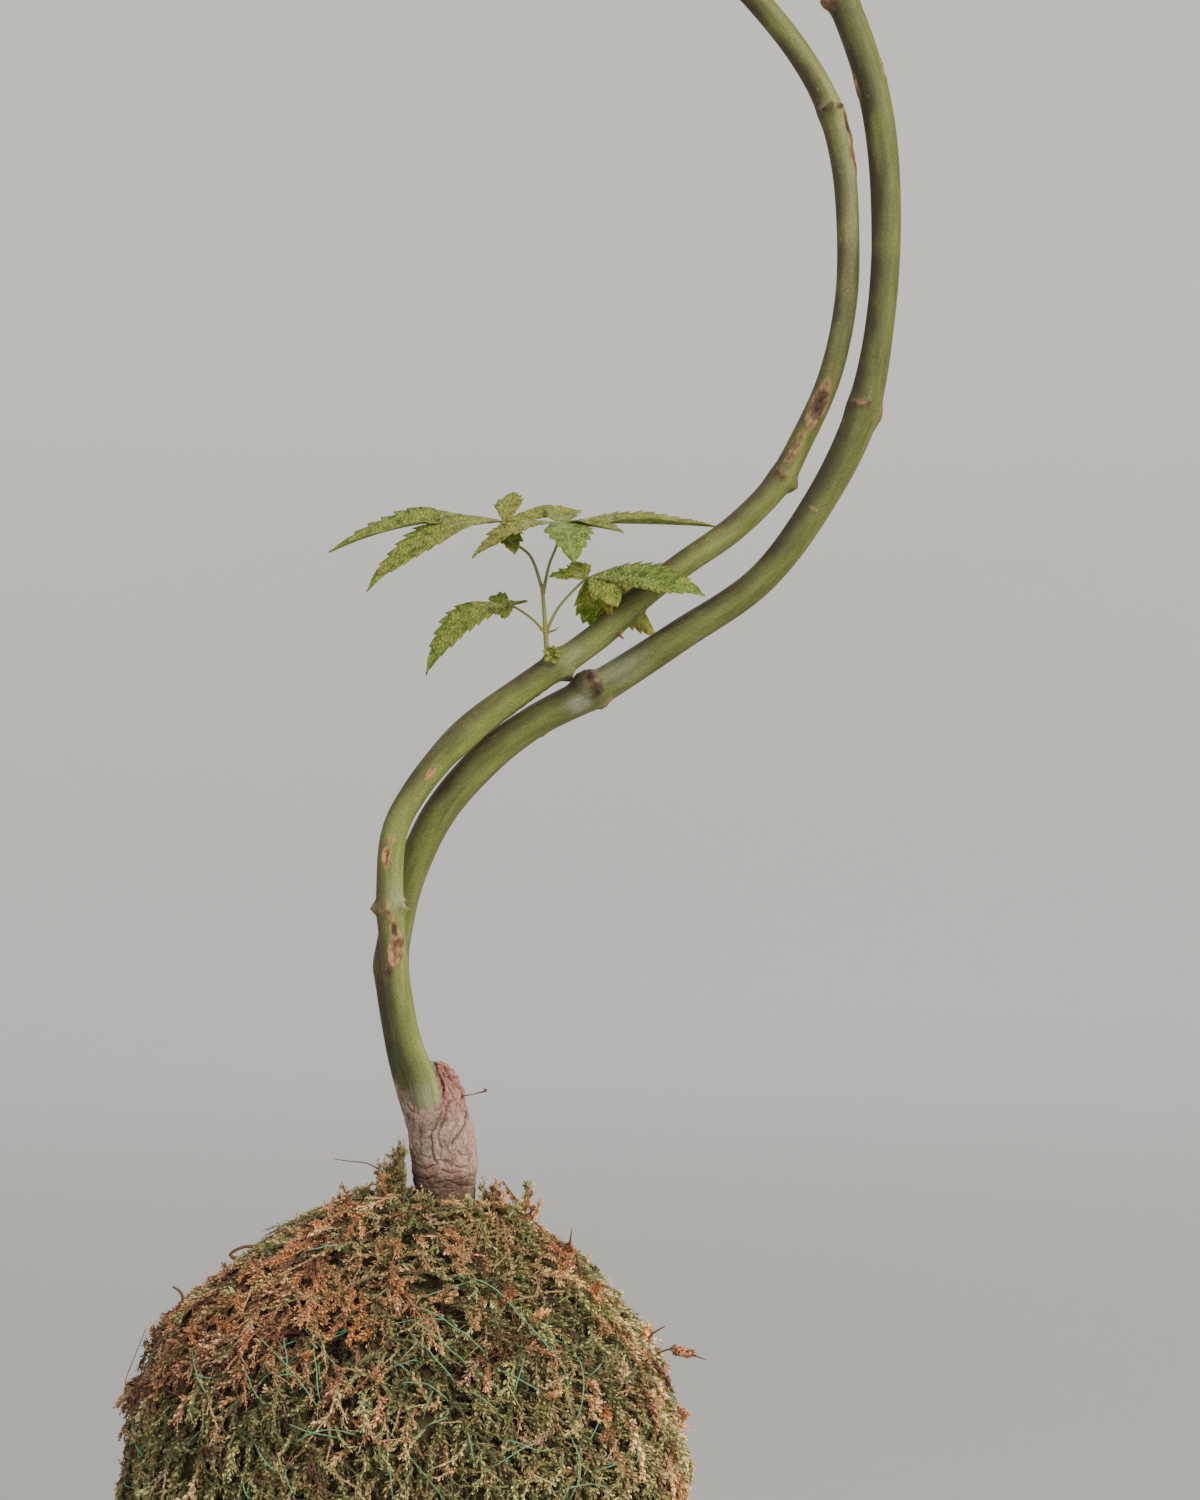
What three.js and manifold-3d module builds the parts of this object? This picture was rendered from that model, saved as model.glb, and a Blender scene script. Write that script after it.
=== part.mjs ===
// Kokedama: a plant whose root ball is wrapped in moss and bound with thread, with two stems
// trained together in a long S-curve. Millimetres, +Z up. The origin is the centre of the small
// flat that the ball rests on. The stems lean out towards +X, and -Y is the front.
import * as THREE from 'three';
import { mergeVertices } from 'three/addons/utils/BufferGeometryUtils.js';
import Module from 'manifold-3d';

const wasm = await Module();
wasm.setup();

// ---------------------------------------------------------------- driving dimensions
const BALL_R = 75;                       // the ball, out to the moss
const FLAT_R = 30;                       // the flat under it
const BALL = new THREE.Vector3(0, 0, Math.sqrt(BALL_R ** 2 - FLAT_R ** 2));
const SOIL_R = 62;                       // soil inside the moss
const SOIL_FLOOR = 8;                    // moss left under the soil
const GAP = 0.35;                        // clearance between pieces that touch
const TUFT_H = 7;                        // how far the moss shoots stand out
const MOSS_STEPS = 13;                   // how finely the moss surface is divided
const THREAD_R = 0.5;
const BLADE_T = 0.75;                    // leaf blade
const PETIOLE_R = 0.75;

// [x, y, z, radius] along each stem, from its foot in the trunk to its top
const FRONT_STEM = [
  [9.6, -3.1, 157.7, 3.7], [7.7, -4.4, 165.3, 3.8], [1.5, -4.5, 184.7, 3.45], [-1.7, -4.6, 203.7, 3.4],
  [-3.4, -4.5, 222.7, 3.45], [-1.8, -3.8, 238.4, 3.4], [3, -3.2, 247.9, 3.4], [9.8, -2.8, 257.4, 3.45],
  [19.9, -2.4, 267.1, 3.5], [32.7, -2, 276.1, 3.5], [51.1, -1, 288.4, 3.55], [71.7, 1, 306.2, 3.35],
  [85.4, 2.5, 316.3, 3.35], [96.3, 4, 327.5, 3.35], [102.3, 4.5, 338.2, 3.1], [110, 4.5, 355.5, 3],
  [114.1, 3.5, 375, 2.95], [114.5, 2, 392.8, 2.95], [113.1, 1, 409.4, 3.1], [109.7, 0, 423.4, 3.3],
  [102.7, -2, 436.8, 3.2], [90.8, -4, 451.6, 3.2], [77, -6, 464.2, 3], [64.5, -7, 475.7, 2.8],
  [55, -7, 487.7, 2.5], [50.5, -6, 501.7, 2.1],
];
const BACK_STEM = [
  [5.2, 3.6, 157.7, 4.1], [2.6, 4.9, 165.3, 4.35], [-1, 5.2, 183.9, 4.1], [-3.9, 5.2, 202.8, 4.25],
  [-2.6, 5, 212.4, 4.25], [1.3, 4.6, 225.8, 4.1], [9.3, 3.6, 242.9, 4.25], [22.3, 2.6, 257.3, 4.25],
  [34.1, 1.8, 266.1, 4], [50.6, 0.6, 275.1, 4.45], [71.2, -1, 287.6, 3.9], [91.7, -2, 302.5, 3.85],
  [107, -3.5, 322.9, 4.1], [117.2, -4, 343.8, 4.35], [122, -4, 366.3, 3.7], [123.9, -3, 393.4, 3.8],
  [122, -1, 421.9, 4], [116.5, 1, 444.1, 4], [107.8, 3, 463.7, 3.9], [95, 4, 479.7, 3.6],
  [83, 5, 494.2, 3.2], [76.5, 5, 511.7, 2.6],
];
// blunt buds and leaf scars that stand out of a stem: [x, y, z, radius]
const FRONT_NODES = [
  [-6.6, -5, 218.3, 1.7], [44.5, -2.6, 280.6, 1.9], [100.2, 2.6, 325.6, 1.8], [111.5, -0.5, 421.7, 2.8],
];
const BACK_NODES = [
  [49, -2.2, 277.7, 2.4], [52.5, -0.4, 271, 1.9], [118, -7, 346.7, 2.4], [108.8, 0.8, 452.5, 2],
];

// the trunk from its flare in the soil up to its shoulders: [x, y, z, half width, half depth]
const TRUNK = [
  [10.8, 0, 116, 11.5, 11], [10.8, 0, 124, 11, 10.5], [10.8, 0, 132, 8.8, 8.4], [10.8, 0, 140, 7.5, 7.2],
  [10.8, 0, 146, 7.3, 7.2], [10.9, 0, 150.5, 8.3, 7.8], [10.6, 0, 156, 8.8, 8.4],
  [9.4, 0, 161, 8.9, 8.5], [7.9, 0.2, 165.5, 8.6, 8.2], [6.6, 0.8, 169, 7.6, 7.4], [6, 1.4, 171.5, 5.6, 5.4],
];
const OLD_STUB = [
  [11.2, 1.6, 160, 7, 6.6], [11, 2.6, 166, 6, 5.8], [10.6, 3.2, 171, 4.9, 4.8], [10, 3.6, 175.5, 3.7, 3.6],
  [8.8, 3.8, 178.6, 1.7, 1.7],
];
const ROOTS = [       // end points in the soil; each root leaves the flare and bends down
  [46, -12, 84], [-26, -22, 80], [12, -44, 72], [-20, 30, 74], [30, 36, 86], [8, 4, 42],
];

// broad swellings of the moss: [direction x, y, z, angular width, height]
const SWELLINGS = [
  [-0.13, 0.05, 1, 0.1, 5], [0.42, -0.12, 0.92, 0.12, 2.5], [-0.45, -0.05, 0.9, 0.14, 2.5],
  [-0.86, -0.1, 0.56, 0.1, 2.5], [-0.97, -0.05, 0.27, 0.1, 3], [0.9, 0, 0.42, 0.12, 2],
  [-0.3, -0.8, 0.35, 0.2, 2], [0.3, 0.7, 0.6, 0.15, 3], [-0.5, 0.75, 0.1, 0.2, 2.5],
];
// loose tufts that stand out of it: [foot x, y, z, tip x, y, z, foot radius]
const TUFTS = [
  [-4, -3, 139, -1, -4, 160.5, 5.5], [-9, -2, 138, -6.2, -3, 155.5, 4.5], [-13, 2, 138, -18, 2, 147, 4],
  [24, -3, 135, 25.5, -4, 152, 5], [29, -2, 133, 36.5, -3, 146.5, 4], [37, -2, 128, 41, -2, 138, 3.2],
  [42, 3, 125, 46, 4, 134, 2.8], [-30, -6, 130, -34, -7, 140.5, 4], [-44, 0, 121, -50, -1, 129, 3.6],
  [-58, -3, 104, -65.5, -4, 114.5, 4], [-67, -3, 88, -74, -4, 92, 4], [66, -3, 84, 75, -3, 85, 3.6],
  [62, 0, 98, 69, -1, 106, 3.2], [10, 22, 134, 12, 26, 146, 5], [-24, 38, 118, -28, 46, 124, 4.5],
  [38, 42, 105, 44, 49, 110, 4.5], [-58, 28, 92, -65, 32, 96, 4],
];
// turns of the binding thread: [normal x, y, z, distance of its plane from the ball's centre]
const TURNS = [
  [0.35, -0.62, 0.7, 4], [-0.7, -0.3, 0.62, -6], [0.75, 0.15, 0.62, 8], [-0.1, 0.72, 0.66, -3],
  [0.1, -0.2, 0.97, -12], [-0.45, 0.5, 0.72, 16],
];

// ---------------------------------------------------------------- small tools
const V = (a) => new THREE.Vector3(a[0], a[1], a[2]);

function seeded(seed) {
  let s = seed;
  return () => (s = (s * 16807) % 2147483647) / 2147483647;
}

function toSolid(geometry) {
  const g = geometry.clone();
  g.deleteAttribute('normal');
  g.deleteAttribute('uv');
  const m = mergeVertices(g, 1e-4);
  return new wasm.Manifold(new wasm.Mesh({
    numProp: 3,
    vertProperties: new Float32Array(m.attributes.position.array),
    triVerts: new Uint32Array(m.index.array),
    tolerance: 0.01,
  }));
}

function toGeometry(solid) {
  const m = solid.getMesh();
  const g = new THREE.BufferGeometry();
  g.setAttribute('position', new THREE.BufferAttribute(new Float32Array(m.vertProperties), 3));
  g.setIndex(new THREE.BufferAttribute(new Uint32Array(m.triVerts), 1));
  return g;
}

const fuse = (solids) => solids.reduce((a, b) => a.add(b));

function moved(geometry, place) {                   // every vertex sent through place(v)
  const p = geometry.attributes.position;
  const v = new THREE.Vector3();
  for (let i = 0; i < p.count; i++) {
    v.fromBufferAttribute(p, i);
    place(v);
    p.setXYZ(i, v.x, v.y, v.z);
  }
  return geometry;
}

// A round bar along a curve: a unit cylinder whose rings are set square to the curve.
function bar(curve, radius, sides, steps) {
  curve.arcLengthDivisions = 600;
  const { normals, binormals } = curve.computeFrenetFrames(steps, false);
  return moved(new THREE.CylinderGeometry(1, 1, 1, sides, steps), (v) => {
    const u = v.y + 0.5;
    const k = Math.round(u * steps);
    const r = radius(curve.getUtoTmapping(u));
    const { x, z } = v;
    v.copy(curve.getPointAt(u))
      .addScaledVector(normals[k], x * r).addScaledVector(binormals[k], -z * r);
  });
}

// The same through hand-set points that carry their own radius as a fourth number.
function taperedBar(points, sides, steps, extra = 0) {
  const curve = new THREE.CatmullRomCurve3(points.map(V), false, 'centripetal');
  const radius = (t) => {
    const at = t * (points.length - 1);
    const i = Math.min(Math.floor(at), points.length - 2);
    return THREE.MathUtils.lerp(points[i][3], points[i + 1][3], at - i) + extra;
  };
  return bar(curve, radius, sides, steps);
}

// A body through level oval rings, its rim rippled like bark.
function ovalLoft(rings, sides, ripple, extra = 0) {
  return moved(new THREE.CylinderGeometry(1, 1, 1, sides, rings.length - 1), (v) => {
    const [x, y, z, rx, ry] = rings[Math.round((v.y + 0.5) * (rings.length - 1))];
    const a = Math.atan2(v.z, v.x);
    const folds = Math.sin(3 * a + z * 0.21) + Math.cos(5 * a - z * 0.3);
    const k = Math.hypot(v.x, v.z) * (1 + ripple * folds);
    const more = extra * Math.sign(k);
    v.set(x + Math.cos(a) * (rx * k + more), y - Math.sin(a) * (ry * k + more), z);
  });
}

function bud([x, y, z, r]) {                         // a blunt knob
  return toSolid(new THREE.IcosahedronGeometry(r, 0).translate(x, y, z));
}

// ---------------------------------------------------------------- root ball
function flattened(radius, detail, floor, height = () => 0) {
  const g = moved(new THREE.IcosahedronGeometry(1, detail), (v) => {
    v.multiplyScalar(radius + height(v)).add(BALL);
    v.z = Math.max(v.z, floor);
  });
  return toSolid(g);
}

// Moss shoots lying every way over the ball, each one a low ridge.
const ridges = (() => {
  const random = seeded(20);
  const count = 520;
  return Array.from({ length: count }, (_, i) => {
    const z = 1 - (2 * i + 1) / count;
    const a = i * 2.39996 + random() * 0.5;
    const at = new THREE.Vector3(Math.cos(a), Math.sin(a), 0).multiplyScalar(Math.sqrt(1 - z * z)).setZ(z);
    const turn = random() * Math.PI;
    const along = new THREE.Vector3(Math.cos(turn), Math.sin(turn), 0.3).cross(at).normalize();
    return { at, along, across: at.clone().cross(along), high: TUFT_H * (0.4 + 0.6 * random()) };
  });
})();

function mossHeight(direction) {
  const d = direction.clone().normalize();
  let low = -4 + 1.5 * d.z - 1.2 * Math.max(0, -d.x);
  for (const [x, y, z, wide, high] of SWELLINGS) {
    const angle = d.angleTo(new THREE.Vector3(x, y, z));
    low += high * Math.exp(-((angle / wide) ** 2));
  }
  let best = 0;
  for (const { at, along, across, high } of ridges) {
    if (d.dot(at) < 0.98) continue;
    const a = (d.dot(along) * BALL_R) / 10;
    const b = (d.dot(across) * BALL_R) / 3.9;
    best = Math.max(best, high * Math.max(0, 1 - a * a) * Math.max(0, 1 - b * b));
  }
  return low + best;
}

const trunkSolid = (extra) => fuse([
  toSolid(ovalLoft(TRUNK, 12, 0.045, extra)),
  toSolid(ovalLoft(OLD_STUB, 8, 0.06, extra)),
]);

function rootSolids(extra) {
  return ROOTS.map(([x, y, z]) => toSolid(taperedBar([
    [10.8 + x * 0.02, y * 0.05, 120, 4.2],
    [10.8 + (x - 10.8) * 0.45, y * 0.45, 112 - (112 - z) * 0.2, 3],
    [x, y, z, 1.2],
  ], 5, 4, extra)));
}

const stemFront = (extra = 0, sides = 8, steps = 50) => toSolid(taperedBar(FRONT_STEM, sides, steps, extra));
const stemBack = (extra = 0, sides = 8, steps = 48) => toSolid(taperedBar(BACK_STEM, sides, steps, extra));

const rootCrown = () => fuse([trunkSolid(0), ...rootSolids(0)])
  .subtract(stemFront(GAP))
  .subtract(stemBack(GAP));
const soilCore = () => flattened(SOIL_R, 5, SOIL_FLOOR)
  .subtract(fuse([trunkSolid(GAP), ...rootSolids(GAP)]));

function tuft([x, y, z, tx, ty, tz, radius]) {       // a narrowing clump from its foot to its tip
  const foot = new THREE.Vector3(x, y, z);
  const rise = new THREE.Vector3(tx, ty, tz).sub(foot);
  const upright = new THREE.Vector3(0, 1, 0);
  const turn = new THREE.Quaternion().setFromUnitVectors(upright, rise.clone().normalize());
  const clump = new THREE.CylinderGeometry(radius * 0.35, radius, rise.length(), 5, 1);
  clump.translate(0, rise.length() / 2, 0);
  return toSolid(moved(clump, (v) => v.applyQuaternion(turn).add(foot)));
}

const mossCover = () => fuse([flattened(BALL_R, MOSS_STEPS, 0, mossHeight), ...TUFTS.map(tuft)])
  .subtract(flattened(SOIL_R + GAP, 5, SOIL_FLOOR - GAP))
  .subtract(trunkSolid(GAP));

// ---------------------------------------------------------------- binding thread
// The thread lies on the tops of the moss: over each point it runs at the height of the
// tallest moss within reach.
const mossTops = (() => {
  const g = new THREE.IcosahedronGeometry(1, MOSS_STEPS);
  const tops = new Map();
  moved(g, (v) => {
    const place = v.toArray().map((c) => c.toFixed(3)).join();
    tops.set(place, [v.clone(), BALL_R + mossHeight(v)]);
  });
  return [...tops.values()];
})();

function threadHeight(direction) {
  const near = mossTops.filter(([d]) => d.dot(direction) > Math.cos(0.13));
  return Math.max(...near.map(([, top]) => top)) + GAP + THREAD_R;
}

function threadTurn([x, y, z, offset]) {
  const steps = 38;
  const normal = new THREE.Vector3(x, y, z).normalize();
  const e1 = new THREE.Vector3(0, 0, 1).cross(normal).normalize();
  const e2 = normal.clone().cross(e1);
  const tilt = offset / BALL_R;
  const path = Array.from({ length: steps }, (_, i) => {
    const a = (i / steps) * 2 * Math.PI;
    const d = e1.clone().multiplyScalar(Math.cos(a)).addScaledVector(e2, Math.sin(a))
      .addScaledVector(normal, tilt).normalize();
    return { out: d, at: d.clone().multiplyScalar(threadHeight(d)) };
  });
  // a ring's own angle picks the path point, and its section is set outwards and sideways there
  return moved(new THREE.TorusGeometry(2, 1, 3, steps), (v) => {
    const i = Math.round((Math.atan2(v.y, v.x) / (2 * Math.PI)) * steps + steps) % steps;
    const outwards = Math.hypot(v.x, v.y) - 2;
    const sideways = v.z;
    v.copy(path[i].at).addScaledVector(path[i].out, outwards * THREAD_R)
      .addScaledVector(normal, sideways * THREAD_R).add(BALL);
  });
}

const bindingThread = () => fuse(TURNS.map((turn) => toSolid(threadTurn(turn))));

// ---------------------------------------------------------------- leaves
// A thin blade from an open surface: a second copy set back along the normals, joined at the rim.
function thicken(points, triangles, thickness) {
  const surface = new THREE.BufferGeometry().setFromPoints(points);
  surface.setIndex(triangles.flat());
  surface.computeVertexNormals();
  const n = surface.attributes.normal;
  const normalAt = (i) => new THREE.Vector3().fromBufferAttribute(n, i);
  const back = points.map((p, i) => p.clone().addScaledVector(normalAt(i), -thickness));
  const edges = new Map();
  for (const t of triangles) {
    for (let k = 0; k < 3; k++) edges.set(`${t[k]}_${t[(k + 1) % 3]}`, [t[k], t[(k + 1) % 3]]);
  }
  const m = points.length;
  const all = triangles.flatMap(([a, b, c]) => [[a, b, c], [c + m, b + m, a + m]]);
  for (const [a, b] of edges.values()) {
    if (!edges.has(`${b}_${a}`)) all.push([b, a, a + m], [b, a + m, b + m]);
  }
  const g = new THREE.BufferGeometry().setFromPoints([...points, ...back]);
  g.setIndex(all.flat());
  return toSolid(g);
}

// A palmate blade: long-pointed lobes round one point, each with a midrib and a toothed rim, and
// neighbours sharing the point where they part. Lobes go round anticlockwise seen from the face.
// tip is a lobe's point, wide its half width, rise how far its midrib arches (or via where it
// bends to), turned its own face where that differs, fold how far its rim is lifted for its
// width, and rows its count of steps.
function palmateLeaf(centre, face, lobes) {
  const up = V(face).normalize();
  const O = V(centre).addScaledVector(up, 0.35);             // so that the stalk ends inside the blade
  const points = [O];
  const triangles = [];
  const put = (p) => points.push(p) - 1;
  const parts = lobes.map(({ tip, wide, via, rise = 0, turned = face, fold = 0.3, rows = 2 }) => {
    const end = V(tip);
    const ahead = end.clone().sub(O).normalize();
    const left = V(turned).cross(ahead).normalize();
    const bend = via ? V(via) : O.clone().lerp(end, 0.5).addScaledVector(up, rise);
    const rib = new THREE.QuadraticBezierCurve3(O, bend, end);
    return { end, rib, left, lift: ahead.clone().cross(left).multiplyScalar(fold), wide, rows };
  });
  const rim = (part, s, side, out = 1) => {
    const half = part.wide * out * Math.sin(Math.PI * s ** 0.85);
    return part.rib.getPoint(s).addScaledVector(part.left, side * half).addScaledVector(part.lift, half);
  };
  const parting = parts.map((p, i) => {                       // between this lobe and the next
    const q = parts[i + 1];
    if (!q) return put(rim(p, 0.2, -1, 0.7));
    return put(O.clone().lerp(p.rib.getPoint(0.27).add(q.rib.getPoint(0.27)).multiplyScalar(0.5), 0.95));
  });
  const first = put(rim(parts[0], 0.2, 1, 0.7));
  parts.forEach((part, i) => {
    let [L, M, R] = [i ? parting[i - 1] : first, put(part.rib.getPoint(0.28)), parting[i]];
    triangles.push([0, M, L], [0, R, M]);
    const tooth = (s, side) => put(rim(part, s, side, 1.3));
    for (let k = 1; k <= part.rows; k++) {
      const step = 0.62 / part.rows;
      const s = 0.28 + step * k;
      const [l, m, r] = [put(rim(part, s, 1, 0.85)), put(part.rib.getPoint(s)), put(rim(part, s, -1, 0.85))];
      triangles.push([L, M, l], [l, M, m], [M, R, m], [m, R, r]);
      triangles.push([L, l, tooth(s - step * 0.1, 1)], [r, R, tooth(s - step * 0.1, -1)]);
      [L, M, R] = [l, m, r];
    }
    const end = put(part.end);
    triangles.push([L, M, end], [M, R, end]);
  });
  return thicken(points, triangles, BLADE_T);
}

// a stalk through hand-set points, thinner towards its end
function stalk(points, radius = PETIOLE_R, sides = 5, steps = 6) {
  const curve = new THREE.CatmullRomCurve3(points.map(V), false, 'centripetal');
  return toSolid(bar(curve, (t) => radius * (1.15 - 0.3 * t), sides, steps));
}

function leafyShoot() {
  const fork = [35.7, -1.4, 301.5];
  return fuse([
    stalk([[37.5, -1.8, 281], [36.8, -1.6, 287.1], [36.3, -1.5, 294.8], fork], 1, 6, 4),
    bud([37.8, -2.8, 284.6, 1.9]), bud([39.8, -1.4, 283.9, 1.6]), bud([35.8, -1, 283.8, 1.5]),
    stalk([[36.2, -1.5, 299], [32.7, -1, 308.7], [28.3, -0.5, 312.6], [25.7, 0, 317.8]]),
    stalk([[36, -1.6, 299], [37.6, -2, 306.4], [39.9, -2.5, 312.7], [39.9, -3, 317.3]]),
    stalk([[36.8, -1.6, 288.7], [33.2, -1, 292.6], [29.1, -0.5, 295.4], [26.2, -0.2, 296.2]],
      PETIOLE_R, 5, 4),
    stalk([[37, -1.6, 289.7], [39.9, -2, 295.3], [44.2, -2.5, 300.2], [47.6, -3, 303.2]]),
    palmateLeaf([25.7, 0, 317.8], [-0.05, -0.2, 1], [
      { tip: [33.3, 8, 317], wide: 2, rows: 1 },
      { tip: [45.7, 15, 321], rise: 2, wide: 4.4, rows: 3 },
      { tip: [27.3, 28, 325.5], rise: 1, wide: 5.5, fold: 0.1, rows: 3 },
      { tip: [-19.5, 6, 310.1], rise: 8.5, wide: 7, fold: 0.3, rows: 5 },
      { tip: [-8.5, -15, 298.9], rise: 11, wide: 5, turned: [-0.4, -0.6, 0.7], fold: 0.1, rows: 5 },
      { tip: [28.9, -7, 308.7], wide: 3, rows: 1 },
    ]),
    palmateLeaf([39.9, -3, 317.3], [0.05, -0.2, 1], [
      { tip: [80.5, 2, 316.6], rise: 1, wide: 6, fold: 0.3, rows: 5 },
      { tip: [41.8, 14, 320.5], rise: 1.5, wide: 4, rows: 2 },
      { tip: [18.3, -15, 307.5], rise: 6, wide: 4.8, fold: 0.1, rows: 3 },
      { tip: [44.2, -28, 305.7], rise: 6, wide: 7, fold: 0.1, rows: 4 },
      { tip: [56.7, -16, 314], rise: 1, wide: 3.6, rows: 2 },
    ]),
    palmateLeaf([27.2, 0, 296.4], [-0.3, -0.45, 0.85], [
      { tip: [31.7, 6, 297.4], wide: 2, rows: 1 },
      { tip: [22, 8, 300], rise: 1, wide: 2.6, rows: 2 },
      { tip: [6.2, -5, 278.1], rise: 11, wide: 4.6, turned: [-0.5, -0.7, 0.5], fold: 0.1, rows: 5 },
      { tip: [26.2, -6, 292.4], wide: 2, rows: 1 },
    ]),
    palmateLeaf([47.6, -3, 303.2], [0.1, -0.6, 0.8], [
      { tip: [77.3, -10.5, 298.3], rise: 4, wide: 5.6, fold: 0.1, rows: 5 },
      { tip: [65, 8.5, 289], rise: 4, wide: 4, turned: [0.3, -0.7, 0.6], fold: 0, rows: 3 },
      { tip: [43.4, 4, 307.4], rise: 0, wide: 2.6, rows: 1 },
      { tip: [37.6, -5, 303.2], rise: 1, wide: 2.4, rows: 2 },
      { tip: [55.5, 6.8, 288], via: [48, 0, 292], wide: 4.4, turned: [-0.3, -1, 0.1], fold: 0, rows: 3 },
    ]),
  ]).subtract(stemFront(GAP));
}

// The stems' tops: a young shoot with a whorl of leaves, each on its own stalk.
function crownShoot(top, heading, leaves, seed) {
  const random = seeded(seed);
  const base = V(top);
  const dir = V(heading).normalize();
  const along = (far) => base.clone().addScaledVector(dir, far);
  const parts = [stalk([0, 12, 24].map((far) => along(far).toArray()), 1.7, 6, 3)];
  for (let i = 0; i < leaves; i++) {
    const a = i * 2.4 + random() * 0.4;
    const out = new THREE.Vector3(Math.cos(a), Math.sin(a), 0.25 + 0.2 * random());
    const from = along(9 + (i * 14) / leaves);
    const hinge = from.clone().addScaledVector(out, 13 + 6 * random());
    const bend = from.clone().lerp(hinge, 0.5).add(new THREE.Vector3(0, 0, 2));
    const ahead = new THREE.Vector3(Math.cos(a), Math.sin(a), -0.25);
    const side = new THREE.Vector3(-Math.sin(a), Math.cos(a), -0.1);
    const long = 22 + 8 * random();
    const lobe = (turn, k, wide, rows) => ({
      tip: hinge.clone().addScaledVector(ahead, Math.cos(turn) * long * k)
        .addScaledVector(side, Math.sin(turn) * long * k).toArray(),
      rise: 4 * k, wide, rows,
    });
    parts.push(
      stalk([from, bend, hinge].map((p) => p.toArray()), PETIOLE_R, 4, 3),
      palmateLeaf(hinge.toArray(), [0, 0, 1], [
        lobe(-2, 0.42, 2.6, 1), lobe(-1, 0.78, 4, 2), lobe(0, 1, 5, 3),
        lobe(1, 0.78, 4, 2), lobe(2, 0.42, 2.6, 1),
      ]),
    );
  }
  return fuse(parts);
}

// ---------------------------------------------------------------- the plant
const kokedama = new THREE.Group();

function piece(name, solid, color, roughness) {
  const material = new THREE.MeshStandardMaterial({ color, roughness, metalness: 0 });
  const mesh = new THREE.Mesh(toGeometry(solid), material);
  mesh.name = name;
  kokedama.add(mesh);
}

piece('soil_core', soilCore(), 0x3a2a1e, 1);
piece('moss_cover', mossCover(), 0x6b6a35, 1);
piece('binding_thread', bindingThread(), 0x3f8f64, 0.8);
piece('root_crown', rootCrown(), 0x9c8072, 0.9);
piece('stem_front', fuse([stemFront(), ...FRONT_NODES.map(bud)]), 0x8a9150, 0.6);
piece('stem_back', fuse([stemBack(), ...BACK_NODES.map(bud)]), 0x848a4c, 0.6);
piece('leafy_shoot', leafyShoot(), 0x7f8a3c, 0.6);
piece('crown_shoot_front', crownShoot([50, -5.8, 502.7], [-0.3, -0.2, 1], 4, 7), 0x7f8a3c, 0.6);
piece('crown_shoot_back', crownShoot([76.1, 5, 512.9], [-0.1, 0.15, 1], 4, 12), 0x7f8a3c, 0.6);

export default kokedama;
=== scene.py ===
# %% [markdown]
# # A kokedama in Blender
# A kokedama is a plant whose roots sit in a ball of soil, wrapped in sheet moss and bound with
# thread. This one has two green stems, trained side by side in a long S-curve. The CAD model gives
# the frame: where each piece is and how big. Each step below builds the surface that the eye sees
# around one piece of that frame, and gives it its finish.

# %% The frame
import bpy
import numpy as np
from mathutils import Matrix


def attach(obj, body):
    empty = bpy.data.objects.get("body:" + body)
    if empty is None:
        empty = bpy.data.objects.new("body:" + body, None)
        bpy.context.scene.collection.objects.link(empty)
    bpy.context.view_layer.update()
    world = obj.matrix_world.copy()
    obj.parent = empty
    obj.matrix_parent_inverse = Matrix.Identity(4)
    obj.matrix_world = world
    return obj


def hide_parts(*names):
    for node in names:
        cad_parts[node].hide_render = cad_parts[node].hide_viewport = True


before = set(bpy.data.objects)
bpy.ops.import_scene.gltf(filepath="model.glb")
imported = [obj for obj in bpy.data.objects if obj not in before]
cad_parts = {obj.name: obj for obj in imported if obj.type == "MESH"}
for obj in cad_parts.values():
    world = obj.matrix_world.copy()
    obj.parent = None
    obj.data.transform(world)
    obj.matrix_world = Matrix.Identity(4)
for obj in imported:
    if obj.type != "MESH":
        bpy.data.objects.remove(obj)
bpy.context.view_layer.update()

# %% [markdown]
# ## Tools
# Every surface here is a grid of points worked out with numpy, in millimetres, because that is how
# the plant was measured. A few helpers are enough: unit vectors, soft noise for everything that
# grew rather than was made, and a smooth curve through given points.

# %% Vectors, noise and curves
MM = 0.001
EVEN = 2.39996             # radians, the golden angle, which spreads leaves evenly round


def unit(v):
    """v divided by its own length."""
    return v / np.maximum(np.linalg.norm(v, axis=-1, keepdims=True), 1e-12)


def noise(points, scale, seed=0):
    """Soft noise from -1 to 1. The corners of a cubic grid hold random numbers, and a point blends
    its eight corners, each weighed by the product of 3t^2 - 2t^3 (or 1 minus it) over the axes."""
    cell, part = np.divmod(np.asarray(points, float) / scale + 512.0, 1.0)
    cell, ease = cell.astype(np.int64), part * part * (3 - 2 * part)
    total = np.zeros(cell.shape[:-1])
    for corner in np.ndindex(2, 2, 2):
        key = (cell + corner) @ np.array([73856093, 19349663, 83492791]) + seed * 26544357
        key = ((key ^ (key >> 13)) * 1274126177) & 0x7FFFFFFF
        key = ((key ^ (key >> 15)) * 668265263) & 0x7FFFFFFF
        weight = np.prod(np.where(corner, ease, 1 - ease), axis=-1)
        total += weight * (key / 0x3FFFFFFF - 1)
    return total


def rough(points, scale, seed=0, octaves=3):
    """Noise with finer and weaker noise on top: the sum of noise(scale / 2^k) / 2^k."""
    return sum(noise(points, scale / 2**k, seed + 7 * k) / 2**k for k in range(octaves))


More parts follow.
